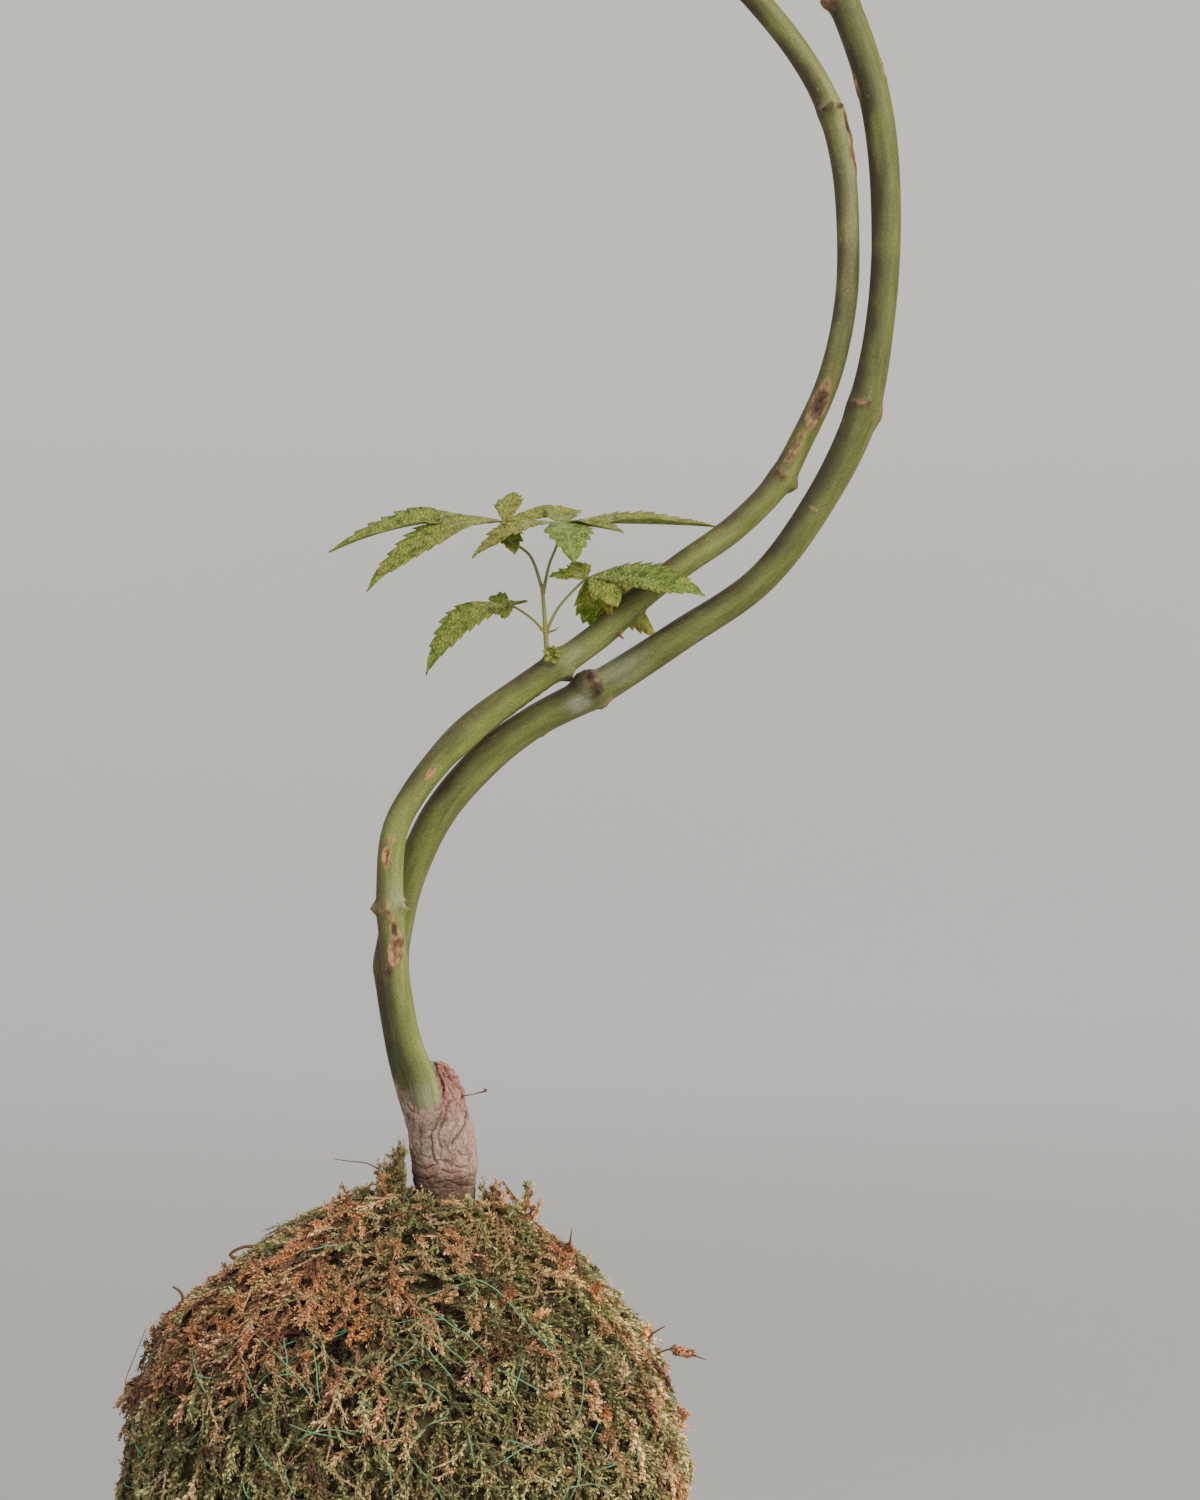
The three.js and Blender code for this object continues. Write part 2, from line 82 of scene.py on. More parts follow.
def smooth_path(points, steps):
    """A centripetal Catmull-Rom curve through the points, in even steps of length. Columns after
    the third, such as a radius, are carried along in the same way."""
    p = np.asarray(points, float)
    p = np.vstack([2 * p[0] - p[1], p, 2 * p[-1] - p[-2]])
    gap = np.linalg.norm(np.diff(p[:, :3], axis=0), axis=1)[:, None, None] ** 0.5
    a, b, c = gap[:-2], gap[1:-1], gap[2:]
    p0, p1, p2, p3 = (p[k:len(p) - 3 + k, None] for k in range(4))
    m1 = ((p1 - p0) / a - (p2 - p0) / (a + b) + (p2 - p1) / b) * b
    m2 = ((p2 - p1) / b - (p3 - p1) / (b + c) + (p3 - p2) / c) * b
    t = np.linspace(0, 1, 24, endpoint=False)[:, None]
    curve = ((2 * t**3 - 3 * t**2 + 1) * p1 + (t**3 - 2 * t**2 + t) * m1
             + (3 * t**2 - 2 * t**3) * p2 + (t**3 - t**2) * m2)
    curve = np.vstack([curve.reshape(-1, p.shape[1]), p[-2]])
    far = np.concatenate([[0], np.cumsum(np.linalg.norm(np.diff(curve[:, :3], axis=0), axis=1))])
    even = np.linspace(0, far[-1], steps)
    return np.stack([np.interp(even, far, column) for column in curve.T], axis=1)


# %% [markdown]
# ## Tubes
# Stems, stalks, roots and thread are all one form: a ring carried along a path. At each point of
# the path there are three directions, ahead, front and right, and the ring lies in the last two.
# The rings of many tubes are worked out at once, with the tubes as the first axis of the arrays.

# %% Tubes and grids
def frames(path, front=(0, -1, 0)):
    """Ahead T is the path's own direction, front F is the given one squared to T, right is T x F."""
    ahead = unit(np.gradient(path, axis=-2))
    front = np.broadcast_to(np.asarray(front, float), path.shape)
    front = unit(front - (front * ahead).sum(-1, keepdims=True) * ahead)
    return ahead, front, np.cross(ahead, front)


def round_about(sides):
    """Angles round a ring: 0 is its front and a quarter turn its right side."""
    return np.linspace(-np.pi, np.pi, sides, endpoint=False)


def tube(path, radius, sides, front=(0, -1, 0)):
    """Ring points: path + radius * (cos a * front + sin a * right), one ring a path point."""
    _, f, r = frames(path, front)
    a = round_about(sides)[:, None]
    ring = f[..., None, :] * np.cos(a) + r[..., None, :] * np.sin(a)
    return path[..., None, :] + np.asarray(radius)[..., None] * ring


def grid_faces(rows, columns, wrap):
    """Quads between neighbours in a grid; with wrap, the last column joins the first."""
    i = np.arange(rows - 1)[:, None] * columns
    j = np.arange(columns if wrap else columns - 1)[None]
    k = (j + 1) % columns
    return np.stack([i + j, i + k, i + columns + k, i + columns + j], axis=-1).reshape(-1, 4)


def closed(points):
    """Points and faces of tubes whose two ends are shut by a fan round their middle.
    points has the axes tube, ring, place on the ring, xyz."""
    count, rows, sides = points.shape[:3]
    ends = points[:, [0, -1]].mean(axis=2)
    flat = np.concatenate([points.reshape(count, -1, 3), ends], axis=1)
    j = np.arange(sides)
    k, last, hub = (j + 1) % sides, (rows - 1) * sides, rows * sides
    fans = np.vstack([np.stack([k, j, np.full(sides, hub)], 1),
                      np.stack([last + j, last + k, np.full(sides, hub + 1)], 1)])
    step = (np.arange(count) * flat.shape[1])[:, None, None]
    faces = [(grid_faces(rows, sides, True) + step).reshape(-1, 4), (fans + step).reshape(-1, 3)]
    return flat.reshape(-1, 3), faces


def with_ends(values):
    """One value a ring point, with the ends' own values added in the order that closed() uses."""
    ends = values[:, [0, -1]].mean(axis=2)
    tail = values.shape[3:]
    return np.concatenate([values.reshape(len(values), -1, *tail), ends], axis=1).reshape(-1, *tail)


# %% [markdown]
# ## Putting a mesh into the scene
# `piece` writes the arrays into a Blender mesh, turns millimetres to metres and hands the object to
# the frame: it rides on the plant's one body, gets its material and hides the CAD nodes that it
# stands for. Patterns that follow a surface read attributes that are stored with its points.

# %% Pieces
def piece(name, points, faces, material, replaces=(), smooth=True, attributes=None):
    """A mesh object at the origin, with one attribute value for each point."""
    sizes = np.concatenate([np.full(len(f), f.shape[1]) for f in faces])
    corners = np.concatenate([f.ravel() for f in faces])
    mesh = bpy.data.meshes.new(name)
    mesh.vertices.add(len(points))
    mesh.vertices.foreach_set("co", (points * MM).astype(np.float32).ravel())
    mesh.loops.add(len(corners))
    mesh.loops.foreach_set("vertex_index", corners.astype(np.int32))
    mesh.polygons.add(len(sizes))
    mesh.polygons.foreach_set("loop_start", (np.cumsum(sizes) - sizes).astype(np.int32))
    mesh.polygons.foreach_set("use_smooth", np.full(len(sizes), smooth))
    for key, values in (attributes or {}).items():
        kind = {1: "FLOAT", 2: "FLOAT_VECTOR"}[values.ndim]
        layer = mesh.attributes.new(key, kind, "POINT")
        layer.data.foreach_set("value" if kind == "FLOAT" else "vector",
                               values.astype(np.float32).ravel())
    mesh.update(calc_edges=True)
    mesh.materials.append(material)
    made = bpy.data.objects.new(name, mesh)
    bpy.context.scene.collection.objects.link(made)
    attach(made, "root")
    if replaces:
        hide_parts(*replaces)
    print(f"{name}: {int((sizes - 2).sum())} triangles")


# %% [markdown]
# ## Camera and stage
# The photograph was taken level, with the plant filling the frame, so the camera looks along +Y
# from 0.91 m. A plain pale floor sweeps up into a round wall, far enough out that a camera can go
# all the way round the plant inside it. It is one profile turned about the vertical.

# %% Camera
CAMERA_AT = np.array([50.63, -910.0, 258.92])   # mm
PICTURE_MIDDLE = (600, 750)                     # pixels of the photograph
PIXEL = 0.257                                   # mm that one of them covers at the plant's middle
camera = bpy.data.objects.new("camera", bpy.data.cameras.new("camera"))
bpy.context.scene.collection.objects.link(camera)
camera.location = CAMERA_AT * MM
camera.rotation_euler = (np.pi / 2, 0, 0)
camera.data.lens, camera.data.sensor_width = 85, 36
camera.data.clip_start, camera.data.clip_end = 0.05, 30
bpy.context.scene.camera = camera


# %% [markdown]
# ## Finishes
# Each material is named for what the real one is. Colours are sRGB hex values, as a colour picker
# reads them off a surface, and one function turns them to the linear values that light needs.
# Patterns read Object coordinates, in metres, so a pattern's Scale is 1000 divided by the size of
# its grain in mm: 900 draws grains of 1.1 mm. The finest ones are drawn coarser than they are, so
# that they show at all.

# %% Material tools
def linear(hex_colour):
    """sRGB to linear, channel by channel: ((c + 0.055) / 1.055)^2.4, or c / 12.92 in the darks."""
    c = np.array([int(hex_colour[k:k + 2], 16) for k in (1, 3, 5)]) / 255
    return np.where(c > 0.04045, ((c + 0.055) / 1.055) ** 2.4, c / 12.92)


def rgba(hex_colour):
    return (*linear(hex_colour), 1.0)


def add(tree, kind, settings=None, links=None):
    """Adds a node. Settings go by name to the node, or by socket name or number to its inputs, and
    links say which output feeds an input."""
    made = tree.nodes.new("ShaderNode" + kind)
    for key, value in (settings or {}).items():
        if isinstance(key, str) and hasattr(made, key):
            setattr(made, key, value)
        else:
            made.inputs[key].default_value = value
    for key, output in (links or {}).items():
        tree.links.new(output, made.inputs[key])
    return made


def finish(name, sockets):
    """A material with one Principled shader, whose sockets are set to constants."""
    made = bpy.data.materials.new(name)
    made.use_nodes = True
    shader = made.node_tree.nodes["Principled BSDF"]
    for key, value in sockets.items():
        shader.inputs[key].default_value = value
    return made, made.node_tree, shader


# %% Matt painted stage
# Matt emulsion on plaster: no gloss. It grows a shade lighter with height and with the distance
# from the plant, because the lamps stand near and would make the floor the brighter part.
stage_paint, tree, shader = finish("matt_painted_plaster", {"Roughness": 0.95,
                                                            "Specular IOR Level": 0.2})
place = add(tree, "TexCoord").outputs["Object"]
height = add(tree, "SeparateXYZ", links={"Vector": place}).outputs["Z"]
far = add(tree, "VectorMath", {"operation": "LENGTH"}, {0: place}).outputs["Value"]
up_wall = add(tree, "MapRange", {"interpolation_type": "SMOOTHSTEP", "From Max": 0.8, "To Max": 0.5},
              {"Value": height})
far_off = add(tree, "MapRange", {"interpolation_type": "SMOOTHSTEP", "From Min": 0.4, "From Max": 2.6,
                                 "To Max": 0.5}, {"Value": far})
share = add(tree, "Math", {"operation": "ADD"},
            {0: up_wall.outputs["Result"], 1: far_off.outputs["Result"]})
shade = add(tree, "Mix", {"data_type": "RGBA", 6: rgba("#aeadaa"), 7: rgba("#ececea")},
            {0: share.outputs["Value"]}).outputs[2]
tree.links.new(shade, shader.inputs["Base Color"])

# %% Floor and wall
STAGE_R, STAGE_H, SWEEP = 3600.0, 4200.0, 1300.0     # mm: radius, height, radius of the bend
AROUND = 96                                          # points round the stage
turn = np.linspace(0, np.pi / 2, 20)
profile = np.vstack([
    np.stack([np.linspace(1, STAGE_R - SWEEP, 24), np.zeros(24)], 1),
    np.stack([STAGE_R - SWEEP + SWEEP * np.sin(turn[1:]), SWEEP - SWEEP * np.cos(turn[1:])], 1),
    np.stack([np.full(10, STAGE_R), np.linspace(SWEEP, STAGE_H, 11)[1:]], 1),
])
around = np.linspace(0, 2 * np.pi, AROUND, endpoint=False)[None]
bowl = np.stack([profile[:, :1] * np.cos(around), profile[:, :1] * np.sin(around),
                 np.repeat(profile[:, 1:], AROUND, axis=1)], axis=-1)
mesh = bpy.data.meshes.new("floor_and_wall")
hub = np.array([[0.0, 0.0, 0.0]])
fan = [[len(profile) * AROUND, j, (j + 1) % AROUND] for j in range(AROUND)]
mesh.from_pydata((np.vstack([bowl.reshape(-1, 3), hub]) * MM).tolist(), [],
                 grid_faces(len(profile), AROUND, True)[:, ::-1].tolist() + fan)
mesh.shade_smooth()
mesh.materials.append(stage_paint)
stage = bpy.data.objects.new("floor_and_wall", mesh)
bpy.context.scene.collection.objects.link(stage)

# %% [markdown]
# ## Light
# The photograph has soft daylight from the front right, and a room that fills the shadows. A broad
# area light stands in for the window, a second, weaker one for the room, and a plain grey world
# gives the even level that the wall shows.

# %% Lights
def soft_light(name, place, aim, size, watts, colour):
    """A square area light at place that faces aim, both in metres. It lights but isn't seen."""
    lamp = bpy.data.objects.new(name, bpy.data.lights.new(name, "AREA"))
    bpy.context.scene.collection.objects.link(lamp)
    lamp.data.shape, lamp.data.size, lamp.data.energy = "SQUARE", size, watts
    lamp.data.color = linear(colour)
    lamp.visible_camera = False
    from_to = np.array(aim) - np.array(place)
    flat = np.hypot(from_to[0], from_to[1])
    lamp.location = place
    lamp.rotation_euler = (np.arctan2(flat, -from_to[2]), 0,
                           np.arctan2(from_to[1], from_to[0]) - np.pi / 2)


AIM = (0.05, 0.0, 0.2)
soft_light("window", (1.7, -1.9, 2.0), AIM, 1.4, 112, "#fff8ee")
soft_light("room_left", (-2.0, -1.6, 1.0), AIM, 1.8, 12, "#eef3ff")
soft_light("room_back", (0.2, 2.2, 1.9), AIM, 1.8, 15, "#f6f7ff")
world = bpy.data.worlds.new("room")
world.use_nodes = True
world.node_tree.nodes["Background"].inputs["Color"].default_value = rgba("#dfe2e4")
world.node_tree.nodes["Background"].inputs["Strength"].default_value = 0.69
bpy.context.scene.world = world

# %% [markdown]
# ## The moss ball's form
# Sheet moss keeps the shape of the ball under it, with swellings where it is bunched. `moss_low`
# is the broad shape, the same one that the CAD model has, and everything that lies on the ball
# takes its height from it.

# %% The broad shape of the moss
BALL_R = 75.0                           # mm
BALL = np.array([0.0, 0.0, 68.74])      # its middle: low enough to stand on a flat of 60 mm
TRUNK_X = 10.8                          # how far right of that the trunk stands
SWELLINGS = np.array([    # direction x, y, z, angular width, height in mm
    [-0.13, 0.05, 1, 0.1, 2.2], [0.14, -0.05, 1, 0.2, 3.5], [0.40, -0.10, 0.92, 0.08, 4.0],
    [-0.45, -0.05, 0.9, 0.14, -0.9], [-0.82, -0.1, 0.574, 0.07, 3.6], [-0.945, -0.05, 0.326, 0.05, 1.5],
    [-0.60, 0, 0.80, 0.13, -5.6], [0.57, 0, 0.82, 0.09, -4.6], [0.94, 0, 0.34, 0.1, -1.4],
    [-0.90, 0, 0.43, 0.05, -1.4], [-0.975, 0, 0.22, 0.06, -1.6], [-0.3, -0.8, 0.35, 0.2, 2],
    [0.3, 0.7, 0.6, 0.15, 3], [-0.5, 0.75, 0.1, 0.2, 2.5],
])


def bumps(direction, spots):
    """For each spot (a direction, an angular width and a size), size * exp(-(angle / width)^2)."""
    angle = np.arccos(np.clip(direction @ unit(spots[:, :3]).T, -1, 1))
    return (spots[:, 4] * np.exp(-((angle / spots[:, 3]) ** 2))).sum(-1)


def clumps(direction):
    """Noise of about 9 mm, from -1 to 1, where moss is bunched and where it has gaps."""
    return noise(direction * BALL_R, 9, 17)


def moss_low(direction):
    """Height over a ball of BALL_R: a base of -4 + 1.5 z - 1.2 max(0, -x), plus the swellings, plus
    the clumps, which rise and sink by up to 1.8 mm."""
    x, z = direction[..., 0], direction[..., 2]
    base = -4 + 1.5 * z - 1.2 * np.maximum(0, -x)
    return base + bumps(direction, SWELLINGS) + 1.8 * clumps(direction)


def moss_top(direction):
    """How far the tips of the shoots reach over the broad shape: 2 mm at the sides, where the
    thread pulls them flat, up to 5 mm at the top, as 2 + 3 z^1.5."""
    return 2.0 + 3.0 * np.maximum(direction[..., 2], 0) ** 1.5


def on_ball(direction, height=0.0):
    """The point over the moss's broad shape in that direction, height mm above it."""
    return BALL + direction * (BALL_R + moss_low(direction) + height)[..., None]


def above_floor(points):
    """The same points, with none under the floor that the ball rests on."""
    points[..., 2] = np.maximum(points[..., 2], 0.0)
    return points


def spread(count, rng, jitter=0.5):
    """Directions spread evenly over a ball in a golden spiral, each one moved a little."""
    k = np.arange(count) + 0.5
    z, a = 1 - 2 * k / count, k * EVEN
    flat = np.sqrt(1 - z * z)
    even = np.stack([flat * np.cos(a), flat * np.sin(a), z], axis=1)
    return unit(even + rng.normal(0, jitter * np.sqrt(4 / count), even.shape))


# where the moss has dried orange-brown: direction x, y, z, angular width, strength
DRIED = np.array([
    [-0.38, -0.52, 0.75, 0.22, 1.0], [-0.66, -0.32, 0.66, 0.24, 1.0], [-0.83, -0.15, 0.54, 0.16, 0.9],
    [-0.16, -0.86, 0.48, 0.07, 0.9], [-0.24, -0.30, 0.92, 0.15, 0.8], [0.02, -0.59, 0.81, 0.07, 0.9],
    [0.25, -0.35, 0.90, 0.07, 0.7], [0.12, -0.20, 0.97, 0.06, 0.6], [0.56, -0.42, 0.71, 0.06, 0.5],
    [0.40, 0.05, 0.91, 0.10, 0.8], [0.97, -0.15, 0.20, 0.12, 0.5], [-0.60, -0.72, 0.35, 0.10, 0.5],
    [-0.98, 0.10, 0.10, 0.25, 0.6], [0.50, 0.70, 0.45, 0.30, 0.9], [-0.40, 0.82, 0.10, 0.28, 0.8],
    [-0.15, 0.55, 0.82, 0.20, 0.8], [0.75, 0.60, -0.20, 0.25, 0.7], [0.10, -0.80, -0.55, 0.25, 0.6],
])


def dryness(direction):
    """From 0, green, to 1, dried: the spots b, plus (0.4 + b) times noise of 13 and 6 mm, so that
    the noise is strongest where there is something to break up."""
    spots = bumps(direction, DRIED)
    broken = 0.36 * noise(direction * BALL_R, 13, 3) + 0.30 * noise(direction * BALL_R, 6, 4) - 0.05
    return np.clip(spots + broken * (0.4 + spots), 0, 1)


# %% [markdown]
# The most prominent strands and threads are laid where the photograph shows them. A place in the
# photograph is a line of sight from the camera, and the thing lies where that line meets the moss.
# Bending each one by hand in the viewport would do as well, but it could not follow the moss.

# %% Seen from the camera
def over_moss(pixels, height=0.0):
    """The points where the photograph's lines of sight come to height mm over the broad shape. A line
    meets a ball at the distance -b - sqrt(b^2 - c); its radius is corrected by the moss's height
    there, in four rounds. A line that misses the ball gives its own nearest point to it."""
    pixels = np.asarray(pixels, float)
    at = np.stack([CAMERA_AT[0] + (pixels[..., 0] - PICTURE_MIDDLE[0]) * PIXEL,
                   np.zeros(pixels.shape[:-1]),
                   CAMERA_AT[2] - (pixels[..., 1] - PICTURE_MIDDLE[1]) * PIXEL], axis=-1)
    way, start, radius = unit(at - CAMERA_AT), CAMERA_AT - BALL, BALL_R
    b = way @ start
    for _ in range(4):
        near = -b - np.sqrt(np.maximum(b * b - start @ start + radius**2, 0))
        spot = CAMERA_AT + near[..., None] * way
        radius = BALL_R + moss_low(unit(spot - BALL)) + height
    return spot


def ball_under(pixels, height=0.0):
    """The directions from the ball's middle to those points."""
    return unit(over_moss(pixels, height) - BALL)


# %% [markdown]
# ## The mat under the shoots
# Between the shoots one looks down on old, dark moss. It is the ball's broad shape, a few
# millimetres lower, with soft lumps. Making the whole ball out of shoots alone would need many
# times more of them for the same look.

# %% Moss litter
# Old brown moss and fine soil, matt and nearly black in the gaps.
litter, tree, shader = finish("moss_litter", {"Roughness": 1.0, "Specular IOR Level": 0.1})
place = add(tree, "TexCoord").outputs["Object"]
grains = add(tree, "TexNoise", {"Scale": 900.0, "Detail": 3.0}, {"Vector": place})
shade = add(tree, "Mix", {"data_type": "RGBA", 6: rgba("#332e20"), 7: rgba("#594d36")},
            {0: grains.outputs["Fac"]}).outputs[2]
bump = add(tree, "Bump", {"Strength": 0.6, "Distance": 0.0006}, {"Height": grains.outputs["Fac"]})
tree.links.new(shade, shader.inputs["Base Color"])
tree.links.new(bump.outputs["Normal"], shader.inputs["Normal"])

# %% Moss mat
MAT_HEIGHT, LUMPS = -3.2, 1.3        # mm over the broad shape, and up or down from there
rows, columns = 150, 240
polar = np.linspace(0, np.pi, rows)[:, None]
azimuth = -round_about(columns)[None]
direction = np.stack([np.sin(polar) * np.cos(azimuth), np.sin(polar) * np.sin(azimuth),
                      np.cos(polar) + 0 * azimuth], axis=-1)
mat = above_floor(on_ball(direction, MAT_HEIGHT + LUMPS * rough(direction * BALL_R, 7, 11)))
points, faces = closed(mat[None, 1:-1])
piece("moss_mat", points, faces, litter, replaces=["moss_cover"])

# %% [markdown]
# ## Moss shoots
# A feather-moss shoot is a thin stem with tiny overlapping leaves wound round it, so it looks
# braided. Here each leaf is a keeled scale of two triangles, and a three-sided core runs through
# them. The scales follow each other by the golden angle, as real leaves do. Thousands of shoots
# are worked out together: the axes of each array are shoot, scale, corner, xyz.

# %% Curves that lie on the ball
def lying(out, ahead, length, aside, heights):
    """Four points of a Bezier curve that lies over the ball: 0, 1/3, 2/3 and 1 of its length ahead
    of a point in direction out, aside mm to its side and heights mm over the broad shape."""
    share = np.arange(4) / 3
    to = (out[:, None] + (length[:, None] * share / BALL_R)[..., None] * ahead[:, None]
          + (aside / BALL_R)[..., None] * np.cross(out, ahead)[:, None])
    return on_ball(unit(to), heights)


def bezier(bend, t):
    """(1-t)^3 b0 + 3t(1-t)^2 b1 + 3t^2(1-t) b2 + t^3 b3 for each curve and t, and its direction."""
    b, t = [bend[:, k, None] for k in range(4)], t[..., None]
    spot = ((1 - t)**3 * b[0] + 3 * t * (1 - t)**2 * b[1] + 3 * t**2 * (1 - t) * b[2] + t**3 * b[3])
    way = unit((1 - t)**2 * (b[1] - b[0]) + 2 * t * (1 - t) * (b[2] - b[1]) + t**2 * (b[3] - b[2]))
    return spot, way


# %% Braided shoots
def braided(bend, out, width, scales, tint, rng):
    """Shoots of so many scales, or leaves, along Bezier curves. A leaf has its base, its two sides
    and its tip at 0.2, 0.62, 0.62 and 1.0 of the half width w from the axis, so its tip stands off.
    Returns points, triangles and a colour each, with painted light in it: lighter towards each
    leaf's tip and the shoot's tip as painted highlights, darker at the leaf bases and the shoot's
    foot as painted shade."""
    count = len(bend)
    side = unit(np.cross(out, bend[:, 3] - bend[:, 0]))[:, None]

    def at(t):
        """The curve, its direction and two directions across it."""
        spot, way = bezier(bend, np.broadcast_to(t, (count, len(t))))
        b = unit(np.cross(way, side))
        return spot, way, np.cross(b, way), b

    t = (np.arange(scales) + 0.6) / scales
    spot, way, n, b = at(t)
    a = (EVEN * np.arange(scales))[None, :, None] + rng.uniform(0, 6.28, (count, 1, 1))
    outward = np.cos(a) * n + np.sin(a) * b
    across = np.cos(a) * b - np.sin(a) * n
    slim = (0.80 + 0.30 * np.sin(np.pi * t) - 0.45 * t**5)[None, :, None]
    w = 0.5 * width[:, None, None] * slim * rng.uniform(0.75, 1.25, (count, scales, 1))
    long = 1.1 * w
    keel = [spot + 0.20 * w * outward,
            spot + 0.62 * w * outward + 0.45 * long * way + 0.38 * w * across,
            spot + 1.0 * w * outward + long * way,
            spot + 0.62 * w * outward + 0.45 * long * way - 0.38 * w * across]
    scale_points = np.stack(keel, axis=2)

    spot, way, n, b = at(np.array([0.0, 0.35, 0.7, 1.0]))
    a = (np.arange(3) * 2 * np.pi / 3)[None, None, :, None]
    core_r = 0.5 * width[:, None, None, None] * np.array([0.4, 0.45, 0.3, 0.0])[None, :, None, None]
    core = spot[:, :, None] + core_r * (np.cos(a) * n[:, :, None] + np.sin(a) * b[:, :, None])
    core = core.reshape(count, 12, 3)[:, :10]

    # painted highlights at the leaf tips and the shoot's tip, painted shade at the leaf bases
    painted_light = np.array([0.50, 0.95, 1.50, 0.95])[None, None] * (0.66 + 0.50 * t)[None, :, None]
    painted_light = painted_light * rng.uniform(0.66, 1.34, (count, scales, 1))
    # the core is painted darker towards the shoot's foot, as shade
    core_painted_light = np.array([[0.35] * 3 + [0.45] * 3 + [0.6] * 3 + [1.0]])
    painted_light = np.concatenate([painted_light.reshape(count, -1), np.repeat(core_painted_light, count, axis=0)], 1)
    points = np.concatenate([scale_points.reshape(count, -1, 3), core], axis=1)
    colour = tint[:, None] * painted_light[..., None]

    k = 4 * np.arange(scales)[:, None]
    pairs = np.concatenate([k + [0, 1, 2], k + [0, 2, 3]])
    r = 4 * scales
    walls = grid_faces(3, 3, True) + r
    core_tris = np.vstack([walls[:, :3], walls[:, [0, 2, 3]],
                           [[r + 6 + j, r + 6 + (j + 1) % 3, r + 9] for j in range(3)],
                           [[r + 2, r + 1, r]]])
    tris = np.vstack([pairs, core_tris])
    tris = (tris[None] + (np.arange(count) * points.shape[1])[:, None, None]).reshape(-1, 3)
    return points.reshape(-1, 3), tris, colour.reshape(-1, 3)


def gathered(groups):
    """Several lots of (points, triangles, colours) as one."""
    steps = np.cumsum([0] + [len(g[0]) for g in groups[:-1]])
    return (np.vstack([g[0] for g in groups]),
            np.vstack([g[1] + s for g, s in zip(groups, steps)]),
            np.vstack([g[2] for g in groups]))


# %% Dried feather moss
# Moss leaves are thin and dry: matt, with a faint sheen where light only grazes them. Each shoot
# has its own colour, which is stored with its points.
moss_leaf, tree, shader = finish("feather_moss", {"Roughness": 0.8, "Specular IOR Level": 0.3,
                                                  "Sheen Weight": 0.15, "Sheen Roughness": 0.5})
tint = add(tree, "Attribute", {"attribute_name": "tint"}).outputs["Vector"]
place = add(tree, "TexCoord").outputs["Object"]
speck = add(tree, "TexNoise", {"Scale": 1600.0, "Detail": 1.0}, {"Vector": place})
level = add(tree, "MapRange", {"To Min": 0.75, "To Max": 1.25}, {"Value": speck.outputs["Fac"]})
shade = add(tree, "VectorMath", {"operation": "MULTIPLY"},
            {0: tint, 1: level.outputs["Result"]}).outputs["Vector"]
tree.links.new(shade, shader.inputs["Base Color"])

# %% [markdown]
# ## Colours of the moss
# Living moss is olive to yellow-green, dried moss is orange-brown and bleached moss is tan. Each
# shoot takes one colour of one of the three, by chance and by how dry the moss is where it grows,
# so that single tan shoots are scattered through the green ones too.

# %% Moss colours
LIVING = np.array([linear(c) for c in (
    "#6e6c43", "#807b4d", "#938f5b", "#a5a068", "#b4ac77", "#867851", "#767141", "#989260")])
DRY = np.array([linear(c) for c in (
    "#7f563f", "#a97552", "#c68c60", "#d49f71", "#ddb38b", "#986b4d", "#6f4c38", "#b4815b")])
TAN = np.array([linear(c) for c in ("#b49064", "#c6a272", "#d3b282", "#9b7e54", "#aa8d5d")])
DRY_LEVEL = 0.87           # the dried shoots lie a little deeper in each other's shade


def shoot_tints(out, dry, rng):
    """A colour for each shoot, from a random number p: dried where p < 0.9 dry, tan where it is
    over 0.85 - 0.30 max(x, 0)^2 - 0.12 max(z, 0)^4, living otherwise. Each is then made 0.66 to
    1.46 times as light. On top of that it is painted lighter towards the right, the side that the
    window lights (a little less so at the far edge), and at the top, as painted light, and lighter
    on the clumps and darker in the hollows between them, as painted shade."""
    count = len(dry)
    pick = rng.random(count)
    tints = LIVING[rng.integers(len(LIVING), size=count)]
    tan = TAN[rng.integers(len(TAN), size=count)]
    brown = DRY[rng.integers(len(DRY), size=count)] * DRY_LEVEL
    right, high = np.maximum(out[:, 0], 0), np.maximum(out[:, 2], 0) ** 4
    tints = np.where((pick > 0.85 - 0.30 * right**2 - 0.12 * high)[:, None], tan, tints)
    tints = np.where((pick < dry * 0.9)[:, None], brown, tints)
    # painted light from the right and on the top, painted shade in the hollows between clumps
    level = 1.18 + 0.42 * (out[:, 0] - 0.7 * right**4) + 0.10 * high + 0.25 * clumps(out)
    return tints * rng.uniform(0.66, 1.46, (count, 1)) * level[:, None]


def downhill(direction):
    """The way down the ball's side, away from its top."""
    return unit(-np.array([0, 0, 1.0]) + direction * direction[:, 2:3])


def turned(direction, ahead, angle):
    """ahead turned about the outward direction by an angle."""
    return (ahead * np.cos(angle)[:, None]
            + np.cross(direction, ahead) * np.sin(angle)[:, None])


TRUNK_CLEAR = 9.5          # mm from the trunk's middle


def kept_off_trunk(direction):
    """True where a shoot's foot is clear of the trunk."""
    at = BALL + direction * BALL_R
    return (np.hypot(at[:, 0] - TRUNK_X, at[:, 1]) > TRUNK_CLEAR) | (direction[:, 2] < 0)


def moss_piece(name, lot):
    """One mesh of a lot of shoots, flat-shaded, so that every little leaf shows. Like the mat, it
    stands for the CAD model's moss."""
    points, tris, colour = lot
    piece(name, above_floor(points), [tris], moss_leaf, replaces=["moss_cover"],
          smooth=False, attributes={"tint": colour})
